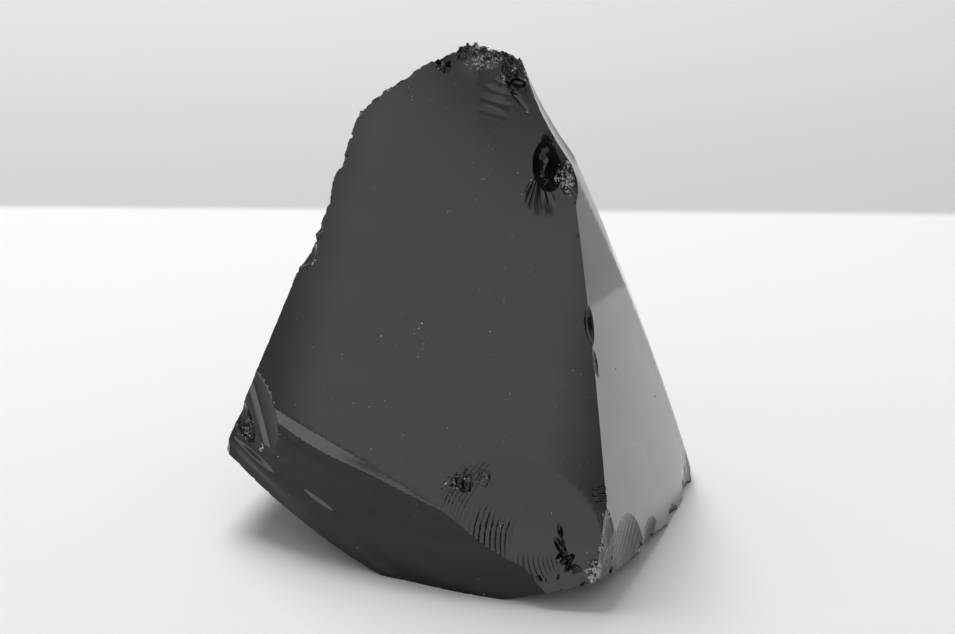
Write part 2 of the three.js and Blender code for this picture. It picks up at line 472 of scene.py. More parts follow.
class Wiring:
    """Short calls for building a node tree."""

    def __init__(self, tree: bpy.types.NodeTree) -> None:
        """Keeps the tree that the calls add to."""
        self.tree = tree

    def node(self, kind: str, inputs: dict | None = None, **settings: object) -> bpy.types.Node:
        """Adds a node.

        Args:
            kind: the node's type name.
            inputs: values or sockets for its inputs, by name or number.
            settings: its other properties.

        Returns:
            The node.
        """
        made = self.tree.nodes.new(kind)
        for name, value in settings.items():
            setattr(made, name, value)
        for socket, value in (inputs or {}).items():
            self.feed(made.inputs[socket], value)
        return made

    def feed(self, socket: bpy.types.NodeSocket, value: object) -> None:
        """Links a socket to the input, or sets its value."""
        if isinstance(value, bpy.types.NodeSocket):
            self.tree.links.new(value, socket)
        else:
            socket.default_value = value

    def math(self, operation: str, *values: object, clamp: bool = False) -> bpy.types.NodeSocket:
        """The result of a Math node."""
        inputs = dict(enumerate(values))
        return self.node("ShaderNodeMath", inputs, operation=operation, use_clamp=clamp).outputs[0]

    def ramp(self, value: object, low: object, high: object, start: float = 0.0,
             end: float = 1.0) -> bpy.types.NodeSocket:
        """A smooth step of a value from start at low to end at high."""
        inputs = {"Value": value, "From Min": low, "From Max": high, "To Min": start, "To Max": end}
        return self.node("ShaderNodeMapRange", inputs, interpolation_type="SMOOTHSTEP").outputs[0]

    def blend(self, share: object, first: object, second: object) -> bpy.types.NodeSocket:
        """A colour between two, by share."""
        made = self.node("ShaderNodeMix", {0: share, 6: first, 7: second}, data_type="RGBA")
        return made.outputs[2]

    def between(self, share: object, first: object, second: object) -> bpy.types.NodeSocket:
        """A number between two, by share."""
        made = self.node("ShaderNodeMix", {0: share, 2: first, 3: second}, data_type="FLOAT")
        return made.outputs[0]

    def scaled(self, vector: object, scale: object) -> bpy.types.NodeSocket:
        """A vector times a number."""
        made = self.node("ShaderNodeVectorMath", {0: vector, "Scale": scale}, operation="SCALE")
        return made.outputs[0]

    def random_vector(self, low: Point, high: Point, seed: object) -> bpy.types.NodeSocket:
        """A random vector for each point."""
        inputs = {0: low, 1: high, "Seed": seed}
        return self.node("FunctionNodeRandomValue", inputs, data_type="FLOAT_VECTOR").outputs[0]

    def random_size(self, low: object, high: object, seed: object) -> bpy.types.NodeSocket:
        """A random size for each point, small sizes being the commoner."""
        inputs = {2: 0.0, 3: 1.0, "Seed": seed}
        even = self.node("FunctionNodeRandomValue", inputs, data_type="FLOAT").outputs[1]
        rare = self.math("POWER", even, SMALL_BIAS)
        return self.math("MULTIPLY_ADD", rare, self.math("SUBTRACT", high, low), low)

    def scatter(self, points: object, thing: object, shape: object, size: object,
                seed: object) -> bpy.types.NodeSocket:
        """Sets a thing on each point, turned at random, as real geometry.

        Args:
            points: where they go.
            thing: what is set there, about one unit in radius.
            shape: the size of each along its three axes, before it is scaled.
            size: the scale of each.
            seed: the seed of the turns.

        Returns:
            The joined geometry.
        """
        turn = self.random_vector((-HALF_TURN,) * 3, (HALF_TURN,) * 3, seed)
        inputs = {"Points": points, "Instance": thing, "Rotation": turn, "Scale": self.scaled(shape, size)}
        spread = self.node("GeometryNodeInstanceOnPoints", inputs).outputs[0]
        return self.node("GeometryNodeRealizeInstances", {"Geometry": spread}).outputs[0]


def scatter_tree(name: str, numbers: tuple[str, ...]) -> bpy.types.NodeTree:
    """Starts a geometry-nodes tree that takes a geometry, some numbers and a seed.

    Args:
        name: the tree's name.
        numbers: the names of its number inputs.

    Returns:
        The tree.
    """
    tree = bpy.data.node_groups.new(name, "GeometryNodeTree")
    tree.interface.new_socket("Geometry", in_out="INPUT", socket_type="NodeSocketGeometry")
    for label in numbers:
        tree.interface.new_socket(label, in_out="INPUT", socket_type="NodeSocketFloat")
    tree.interface.new_socket("Seed", in_out="INPUT", socket_type="NodeSocketInt")
    tree.interface.new_socket("Geometry", in_out="OUTPUT", socket_type="NodeSocketGeometry")
    return tree


def grown_mesh(holder: bpy.types.Object, tree: bpy.types.NodeTree,
               values: dict[str, float]) -> bpy.types.Mesh:
    """What a geometry-nodes tree makes of an object.

    Args:
        holder: the object whose mesh goes in; it has no modifier afterwards.
        tree: the tree.
        values: its inputs, by name.

    Returns:
        A plain mesh.
    """
    modifier = holder.modifiers.new("grow", "NODES")
    modifier.node_group = tree
    sockets = {item.name: item.identifier for item in tree.interface.items_tree if item.in_out == "INPUT"}
    for label, value in values.items():
        modifier[sockets[label]] = value
    graph = bpy.context.evaluated_depsgraph_get()
    mesh = bpy.data.meshes.new_from_object(holder.evaluated_get(graph))
    holder.modifiers.remove(modifier)
    return mesh


def shader_group(name: str, inputs: dict[str, float | tuple], outputs: dict[str, str]) -> tuple:
    """Starts a shader node group.

    Args:
        name: the group's name.
        inputs: the default of each named input; a number or three.
        outputs: the socket type of each named output.

    Returns:
        The group, its wiring, its input node and its output node.
    """
    group = bpy.data.node_groups.new(name, "ShaderNodeTree")
    for label, default in inputs.items():
        kind = "NodeSocketVector" if isinstance(default, tuple) else "NodeSocketFloat"
        socket = group.interface.new_socket(label, in_out="INPUT", socket_type=kind)
        socket.default_value = default
    for label, kind in outputs.items():
        group.interface.new_socket(label, in_out="OUTPUT", socket_type=kind)
    wiring = Wiring(group)
    return group, wiring, wiring.node("NodeGroupInput"), wiring.node("NodeGroupOutput")


# ---- chips along the arrises -----------------------------------------------------------------


@dataclass
class ArrisWear:
    """Chips along one stretch of the stone's sharp edges."""

    route: tuple[Point, ...]
    near: float
    step: float
    small: float
    large: float
    seed: int
    bite: float = 0.45
    crushed: float = 0.0

    def distance(self, places: np.ndarray) -> np.ndarray:
        """How far each place is from the route, in mm."""
        nearest = np.full(len(places), np.inf)
        for start, end in itertools.pairwise(self.route):
            a, b = np.asarray(start, float), np.asarray(end, float)
            share = np.clip((places - a) @ (b - a) / ((b - a) @ (b - a)), 0.0, 1.0)
            apart = np.linalg.norm(places - a - share[:, None] * (b - a), axis=1)
            nearest = np.minimum(nearest, apart)
        return nearest


def sharp_edges(mesh: bpy.types.Mesh, sharper_than: float) -> tuple[np.ndarray, np.ndarray]:
    """The convex edges of a mesh that are sharper than an angle.

    Args:
        mesh: a closed mesh.
        sharper_than: the least angle between an edge's two faces, in degrees.

    Returns:
        The edges' ends, N x 2 x 3 in metres, and the way out of the stone at each, N x 3.
    """
    ends, outs = [], []
    limit = math.radians(sharper_than)
    work = bmesh.new()
    work.from_mesh(mesh)
    work.normal_update()
    for edge in work.edges:
        if len(edge.link_faces) == 2 and edge.calc_face_angle_signed(0.0) > limit:
            ends.append([tuple(vertex.co) for vertex in edge.verts])
            outs.append(tuple((edge.link_faces[0].normal + edge.link_faces[1].normal).normalized()))
    work.free()
    return np.asarray(ends).reshape(-1, 2, 3), np.asarray(outs).reshape(-1, 3)


def edge_object(name: str, ends: np.ndarray, outs: np.ndarray) -> bpy.types.Object:
    """A mesh of loose edges that carries the way out of the stone.

    Args:
        name: the object's name.
        ends: the edges' ends, N x 2 x 3.
        outs: the way out at each edge.

    Returns:
        The object, with a vector attribute "outward" on its edges.
    """
    mesh = bpy.data.meshes.new(name)
    pairs = np.arange(2 * len(ends)).reshape(-1, 2)
    mesh.from_pydata(ends.reshape(-1, 3).tolist(), pairs.tolist(), [])
    outward = mesh.attributes.new("outward", "FLOAT_VECTOR", "EDGE")
    outward.data.foreach_set("vector", outs.ravel())
    made = bpy.data.objects.new(name, mesh)
    bpy.context.scene.collection.objects.link(made)
    return made


class ChipTree:
    """Geometry nodes that set chip-shaped cutters along a stretch of arris."""

    slimmest: Point = (0.8, 0.55, 0.35)
    stoutest: Point = (1.5, 0.9, 0.7)

    def __init__(self, smooth_skin: bpy.types.Material, crushed_skin: bpy.types.Material) -> None:
        """Builds the tree.

        Args:
            smooth_skin: the material of most chips.
            crushed_skin: the material of the crushed ones.
        """
        self.tree = scatter_tree("arris_chips", ("Step", "Small", "Large", "Bite", "Crushed"))
        wire = Wiring(self.tree)
        given = wire.node("NodeGroupInput").outputs
        seed = given["Seed"]
        size = wire.random_size(given["Small"], given["Large"], seed)
        points = self.places(wire, given, size)
        ball = wire.node("GeometryNodeMeshIcoSphere", {"Radius": 1.0, "Subdivisions": 2}).outputs[0]
        ball = wire.node("GeometryNodeSetMaterial", {"Geometry": ball, "Material": smooth_skin}).outputs[0]
        shape = wire.random_vector(self.slimmest, self.stoutest, seed)
        solid = wire.scatter(points, ball, shape, size, seed)
        island = wire.node("GeometryNodeInputMeshIsland").outputs[0]
        odds = {"Probability": given["Crushed"], "ID": island, "Seed": seed}
        pick = wire.node("FunctionNodeRandomValue", odds, data_type="BOOLEAN").outputs[3]
        skin = {"Geometry": solid, "Selection": pick, "Material": crushed_skin}
        dressed = wire.node("GeometryNodeSetMaterial", skin).outputs[0]
        wire.node("NodeGroupOutput", {"Geometry": dressed})

    @staticmethod
    def places(wire: Wiring, given: bpy.types.bpy_prop_collection,
               size: bpy.types.NodeSocket) -> bpy.types.NodeSocket:
        """Points on some of the edges, lifted off the stone.

        Args:
            wire: the tree's wiring.
            given: the tree's inputs.
            size: the size of each chip.

        Returns:
            The points.
        """
        ends = wire.node("GeometryNodeInputMeshEdgeVertices").outputs
        apart = wire.node("ShaderNodeVectorMath", {0: ends[2], 1: ends[3]}, operation="DISTANCE")
        share = wire.math("DIVIDE", apart.outputs["Value"], given["Step"])
        odds = {"Probability": share, "Seed": given["Seed"]}
        chosen = wire.node("FunctionNodeRandomValue", odds, data_type="BOOLEAN").outputs[3]
        edges = {"Mesh": given["Geometry"], "Selection": chosen}
        points = wire.node("GeometryNodeMeshToPoints", edges, mode="EDGES").outputs[0]
        outward = wire.node("GeometryNodeInputNamedAttribute", {"Name": "outward"}, data_type="FLOAT_VECTOR")
        offset = wire.scaled(outward.outputs[0], wire.math("MULTIPLY", size, given["Bite"]))
        return wire.node("GeometryNodeSetPosition", {"Geometry": points, "Offset": offset}).outputs[0]

    def cutters(self, name: str, edges: bpy.types.Object, wear: ArrisWear) -> bpy.types.Mesh:
        """Evaluates the tree on one stretch of edges.

        Args:
            name: the new mesh's name.
            edges: the object that holds the edges; it is removed.
            wear: the chips' sizes.

        Returns:
            One plain mesh of all the chips.
        """
        mesh = grown_mesh(edges, self.tree, {
            "Step": wear.step * MM,
            "Small": wear.small * MM,
            "Large": wear.large * MM,
            "Bite": wear.bite,
            "Crushed": wear.crushed,
            "Seed": wear.seed,
        })
        mesh.name = name
        bpy.data.objects.remove(edges)
        return mesh


def loose_parts(mesh: bpy.types.Mesh) -> list[bpy.types.Mesh]:
    """Splits a mesh of equal closed balls into one mesh each."""
    count = len(mesh.vertices)
    work = bmesh.new()
    work.from_mesh(mesh)
    seen = [-1] * count
    parts: list[list[bmesh.types.BMVert]] = []
    for start in work.verts:
        if seen[start.index] >= 0:
            continue
        stack, part = [start], []
        seen[start.index] = len(parts)
        while stack:
            vertex = stack.pop()
            part.append(vertex)
            for edge in vertex.link_edges:
                other = edge.other_vert(vertex)
                if seen[other.index] < 0:
                    seen[other.index] = len(parts)
                    stack.append(other)
        parts.append(part)
    made = []
    for number, part in enumerate(parts):
        index = {vertex.index: order for order, vertex in enumerate(part)}
        faces = {face for vertex in part for face in vertex.link_faces}
        piece = bpy.data.meshes.new(f"{mesh.name}_{number}")
        ordered = sorted(faces, key=lambda face: face.index)
        corners = [[index[vertex.index] for vertex in face.verts] for face in ordered]
        piece.from_pydata([tuple(vertex.co) for vertex in part], [], corners)
        slot = ordered[0].material_index
        piece.materials.append(mesh.materials[slot] if slot < len(mesh.materials) else None)
        made.append(piece)
    work.free()
    return made


# ---- the stone -------------------------------------------------------------------------------

APEX_LEFT: Point = (2.0, 18.0, 120.3)
APEX_RIGHT: Point = (14.0, 13.0, 117.6)
APEX_BACK: Point = (10.0, 26.0, 114.5)
TOP_LEFT: Point = (-24.0, 21.0, 102.7)
RIDGE_LEFT: Point = (-52.0, 3.5, 35.5)
RIDGE_MIDDLE: Point = (-5.0, -25.5, 26.7)
ARRIS_FOOT: Point = (34.0, -34.5, 21.5)
ARRIS_TOP: Point = (26.7, -2.0, 91.5)
SHOULDER: Point = (29.5, 4.5, 87.0)
HEEL_LEFT: Point = (-58.5, 5.0, 19.5)
HEEL_RIGHT: Point = (59.0, 28.0, 5.0)
TOE: Point = (-5.0, -29.3, 0.0)
TOE_LEFT: Point = (-22.0, -17.0, 0.0)
TOE_MIDDLE: Point = (13.9, -39.2, 2.6)
TOE_RIGHT: Point = (34.0, -39.8, 7.7)
BULB: Point = (26.6, -37.2, 12.6)  # where the blow that left the front scar landed
FRONT_OUT: Point = (-0.16, -0.92, 0.36)  # the way the front face looks, low on its right side
RIDGE_WAY: Point = (0.84, -0.52, -0.16)
RIDGE_SIDE: Point = (0.2, 0.1, 0.97)


def broad_faces() -> dict[str, BroadFace]:
    """The broad fracture faces, in the order they come off."""
    return {
        "front": BroadFace(
            (RIDGE_LEFT, ARRIS_FOOT, APEX_LEFT), (-0.3, -1.0, 0.3), (175.0, 1200.0), 90.0, cell=1.3,
            reliefs=(
                Swell((0.6, -0.3, -0.75), (0.75, 0.0, 0.6), 70.0, 16.0, 0.05, 11),
                Ripples(BULB, 7.0, 0.015, 14.0, 60.0, (-0.6, 0.2, 0.7), 70.0, seed=12),
            ),
        ),
        "front_band": BroadFace(
            ((-52.0, 3.4, 35.5), (-5.5, -26.4, 26.9), (-5.3, -29.9, 0.0)), (-0.5, -1.0, 0.1),
            (200.0, 250.0),
            40.0, skin=Skin.BANDED,
            fine_at=(-24.0, -14.0, 18.0), fine_reach=(42.0, 22.0), fine_cell=0.5,
            reliefs=(
                Swell(RIDGE_WAY, RIDGE_SIDE, 24.0, 3.4, 0.26, 21, (-66.0, 12.0, 36.0), 60.0),
                Swell(RIDGE_WAY, RIDGE_SIDE, 34.0, 4.6, 0.34, 27, (-70.0, 14.0, 34.0), 60.0),
                Ripples(BULB, 1.25, 0.05, 24.0, 37.0, (-0.9, 0.2, 0.2), 60.0, 1.2, seed=23),
            ),
        ),
        "ridge_facet": BroadFace(
            (RIDGE_LEFT, RIDGE_MIDDLE, (-28.9, -15.9, 23.4)), (-0.5, -0.9, 0.3), (180.0, FLAT), 40.0,
            fine_at=(-25.0, -14.0, 28.0), fine_reach=(32.0, 9.0), fine_cell=0.5,
            reliefs=(Swell(RIDGE_WAY, RIDGE_SIDE, 22.0, 4.0, 0.05, 25),),
        ),
        "right": BroadFace(
            (ARRIS_FOOT, ARRIS_TOP, HEEL_RIGHT), (1.0, -0.3, 0.2), (900.0, 900.0), 70.0, cell=1.3,
            skin=Skin.SIDE,
            reliefs=(
                Swell((0.1, 0.55, -0.8), (0.2, 0.8, 0.55), 40.0, 9.0, 0.05, 41),
                Swell((0.1, 0.3, 0.9), (0.2, 0.9, -0.3), 11.0, 6.0, 0.012, 42),
            ),
        ),
        "lower_right": BroadFace(
            ((35.5, -32.5, 19.0), (48.5, -5.0, 7.0), (35.0, -33.5, 5.0)), (1.0, -0.6, -0.1),
            (60.0, 90.0), 15.0,
            skin=Skin.SIDE, fine_at=(40.0, -24.0, 9.0), fine_reach=(17.0, 12.0), fine_cell=0.35,
            reliefs=(
                Ripples((33.0, -37.0, 24.0), 1.9, 0.07, 6.0, 34.0, (0.6, 0.6, -0.5), 70.0, 0.9, seed=51),
                Hackles((36.0, -31.0, 24.0), (0.8, -0.6, 0.0), 60, 0.14, 3.0, 24.0, seed=52),
            ),
        ),
        "front_bevel": BroadFace(
            (TOE_MIDDLE, TOE_RIGHT, (40.0, -14.0, 0.0)), (0.2, -0.4, -1.0), (90.0, FLAT), 30.0,
            reliefs=(Swell((0.8, 0.5, 0.0), (0.2, -0.3, -0.9), 12.0, 3.0, 0.08, 61),),
        ),
        "left_underside": BroadFace(
            (HEEL_LEFT, TOE_LEFT, (-14.0, 45.0, 0.0)), (-0.4, 0.0, -1.0), (140.0, 220.0), 45.0, cell=1.8,
            reliefs=(Ripples((-60.0, 8.0, 18.0), 5.0, 0.09, 8.0, 70.0, (1.0, 0.3, -0.4), 90.0, seed=71),),
        ),
        "top_left": BroadFace(
            (APEX_LEFT, TOP_LEFT, (-10.0, 27.0, 107.0)), (-0.5, 0.7, 0.9), (FLAT, 160.0), 30.0,
            reliefs=(Ripples((4.0, 16.0, 122.0), 3.0, 0.06, 4.0, 40.0, (-1.0, 0.4, -0.6), 80.0, seed=81),),
        ),
        "top": BroadFace(
            (APEX_LEFT, APEX_RIGHT, APEX_BACK), (0.2, 0.3, 1.0), (FLAT, FLAT), 1.0, skin=Skin.CRUSHED,
            fine_at=(8.0, 18.0, 118.0), fine_reach=(12.0, 10.0), fine_cell=0.4,
            reliefs=(Rough((8.0, 18.0, 118.0), 14.0, 0.5, 1.8, 91),),
        ),
        "top_right": BroadFace(
            (APEX_RIGHT, (21.5, 4.0, 101.5), (15.5, 23.0, 116.0)), (0.9, -0.1, 0.5), (-70.0, -90.0), 25.0,
            reliefs=(Ripples((14.0, 12.0, 120.0), 2.6, 0.05, 3.0, 40.0, (0.3, 0.0, -1.0), 80.0, seed=95),),
        ),
        "back_left": BroadFace(
            (TOP_LEFT, HEEL_LEFT, (-38.0, 38.0, 30.0)), (-0.85, 0.45, 0.3), (230.0, -450.0), 70.0, cell=1.6,
            reliefs=(
                Ripples((-30.0, 30.0, 100.0), 6.0, 0.08, 8.0, 110.0, (0.0, 0.0, -1.0), 80.0, seed=101),
            ),
        ),
        "back_right": BroadFace(
            (SHOULDER, HEEL_RIGHT, (18.0, 24.0, 112.0)), (0.9, 0.2, 0.4), (260.0, 900.0), 70.0, cell=1.6,
            reliefs=(
                Ripples((20.0, 20.0, 112.0), 5.0, 0.08, 6.0, 120.0, (0.4, 0.2, -1.0), 80.0, seed=111),
            ),
        ),
        "back": BroadFace(
            ((-32.0, 45.0, 6.0), (30.0, 51.0, 0.0), APEX_BACK), (0.0, 1.0, 0.3), (110.0, 190.0), 60.0,
            cell=1.6,
            reliefs=(Ripples((10.0, 28.0, 116.0), 5.5, 0.1, 8.0, 130.0, (0.0, 0.2, -1.0), 80.0, seed=121),),
        ),
        "back_corner": BroadFace(
            ((57.0, 36.0, 4.0), (36.0, 50.0, 1.0), (30.0, 28.0, 62.0)), (0.6, 0.75, 0.3), (120.0, 260.0),
            50.0,
            cell=1.6,
            reliefs=(Ripples((50.0, 44.0, 2.0), 4.0, 0.09, 6.0, 80.0, (-0.4, 0.0, 1.0), 80.0, seed=131),),
        ),
    }


SPLINTER_SCATTER = 0.45  # mm off the route
SPLINTER_LEAN = 0.22  # how unevenly they face
SPLINTER_LEAST = 0.35  # the shortest, as a share of the longest
SPLINTER_SLIM = (0.25, 0.5)  # width and depth, as shares of the length
SPLINTER_TURN = (20.0, 160.0)  # degrees from level
STOP_GAP = 1.001  # keeps a place on the route short of its last stop


def splinter_scars(name: str, route: tuple[Point, ...], facing: Point, count: int, long: float,
                   seed: int) -> dict[str, Scar]:
    """Short deep scars strung along a route.

    Args:
        name: what their names start with.
        route: the points that they follow.
        facing: the way the stone looks there.
        count: how many there are.
        long: the length of the longest, in mm.
        seed: the seed of their places and turns.

    Returns:
        The scars by name.
    """
    rng = np.random.default_rng(seed)
    stops = np.asarray(route)
    made = {}
    for number in range(count):
        where = rng.uniform(0.0, len(stops) - STOP_GAP)
        start = int(where)
        ahead = stops[start + 1] - stops[start]
        place = stops[start] + (where - start) * ahead + rng.normal(0.0, SPLINTER_SCATTER, 3)
        way = unit(facing) + rng.normal(0.0, SPLINTER_LEAN, 3)
        size = long * rng.uniform(SPLINTER_LEAST, 1.0)
        made[f"{name}_{number}"] = Scar(
            tuple(place), tuple(way), size,
            size * rng.uniform(*SPLINTER_SLIM), size * rng.uniform(*SPLINTER_SLIM),
            rng.uniform(*SPLINTER_TURN), cell=0.18, lid=2.0, skin=Skin.RIPPLED)
    return made


def front_scars() -> dict[str, Scar]:
    """The flake scars low on the front face, round the point of the last blow."""
    bulb_ripples = (
        Ripples(BULB, 0.75, 0.014, 8.0, 15.0, (-0.4, 0.2, 1.0), 95.0, 0.4, seed=32),
        Ripples(BULB, 1.15, 0.07, 3.0, 17.0, (-1.0, 0.1, -0.42), 24.0, 1.0, seed=36),
    )
    gash_out = (0.15, -0.92, 0.3)
    crack = ((23.3, -34.0, 17.2), (23.5, -35.0, 14.3), (25.1, -36.7, 11.0), (27.1, -38.0, 8.7))
    toe_crack = ((10.1, -37.0, 5.0), (17.1, -37.6, 6.2), (24.1, -38.5, 7.4))
    lip = ((-6.0, -24.9, 25.6), (-1.0, -26.6, 25.4), (4.0, -28.6, 23.8))
    return {
        "front_scar": Scar(
            (10.4, -33.9, 14.7), (-0.16, -0.91, 0.39), 45.0, 16.0, 1.2, -14.0, cell=0.3, lid=1.6,
            skin=Skin.RIPPLED,
            reliefs=(
                Ripples(BULB, 1.1, 0.1, 15.0, 27.0, (-1.0, 0.2, -0.12), 42.0, 1.6, seed=31),
                Ripples(BULB, 1.0, 0.09, 26.0, 38.0, (-1.0, 0.2, 0.5), 24.0, 1.0, seed=35),
                *bulb_ripples,
                Rough((-5.0, -25.0, 26.0), 4.0, 0.3, 0.9, 39),
                Rough((0.0, -26.5, 27.0), 4.0, 0.25, 0.8, 40),
                Rough((5.0, -28.0, 27.5), 3.0, 0.2, 0.8, 41),
                Rough((31.6, -38.9, 9.6), 3.0, 0.35, 0.8, 43),
            ),
        ),
        "bulb": Scar(
            BULB, FRONT_OUT, 12.5, 11.0, 0.16, 0.0, cell=0.26, lid=1.5, skin=Skin.RIPPLED,
            reliefs=bulb_ripples,
        ),
        **splinter_scars("crack", crack, FRONT_OUT, 26, 1.4, 61),
        **splinter_scars("toe_crack", toe_crack, FRONT_OUT, 11, 0.8, 62),
        **splinter_scars("lip_splinter", lip, FRONT_OUT, 12, 1.3, 63),
        "gash_a": Scar((31.3, -32.2, 27.0), gash_out, 2.4, 0.5, 0.25, 4.0, cell=0.1, lid=1.0),
        "gash_b": Scar((31.9, -32.7, 25.6), gash_out, 2.8, 0.5, 0.25, -2.0, cell=0.1, lid=1.0),
        "gash_c": Scar((32.3, -33.1, 24.5), gash_out, 2.0, 0.6, 0.3, 6.0, cell=0.1, lid=1.0),
        "foot_feather": Scar(
            (35.0, -33.8, 18.0), (0.75, -0.9, 0.1), 6.5, 2.6, 0.8, 84.0, cell=0.3, lid=3.0, skin=Skin.SIDE,
            reliefs=(Hackles((33.0, -35.0, 27.0), (0.7, -0.9, 0.0), 90, 0.25, 2.0, 18.0, seed=262),),
        ),
        "heel_scallop_a": Scar(
            (40.0, -23.5, 9.5), (1.0, -0.6, 0.0), 9.0, 8.0, 1.5, 85.0, cell=0.35, lid=4.0, skin=Skin.SIDE,
            reliefs=(
                Ripples((36.0, -31.0, 14.0), 1.6, 0.07, 3.0, 26.0, (0.6, 0.7, -0.2), 70.0, 0.6, seed=261),
            ),
        ),
        "heel_scallop_b": Scar(
            (46.0, -10.5, 4.5), (1.0, -0.45, -0.1), 6.0, 5.0, 1.3, 75.0, cell=0.35, lid=4.0, skin=Skin.SIDE,
            reliefs=(
                Ripples((42.0, -18.0, 12.0), 1.3, 0.06, 3.0, 26.0, (0.5, 0.6, -0.7), 60.0, 0.8, seed=271),
            ),
        ),
    }


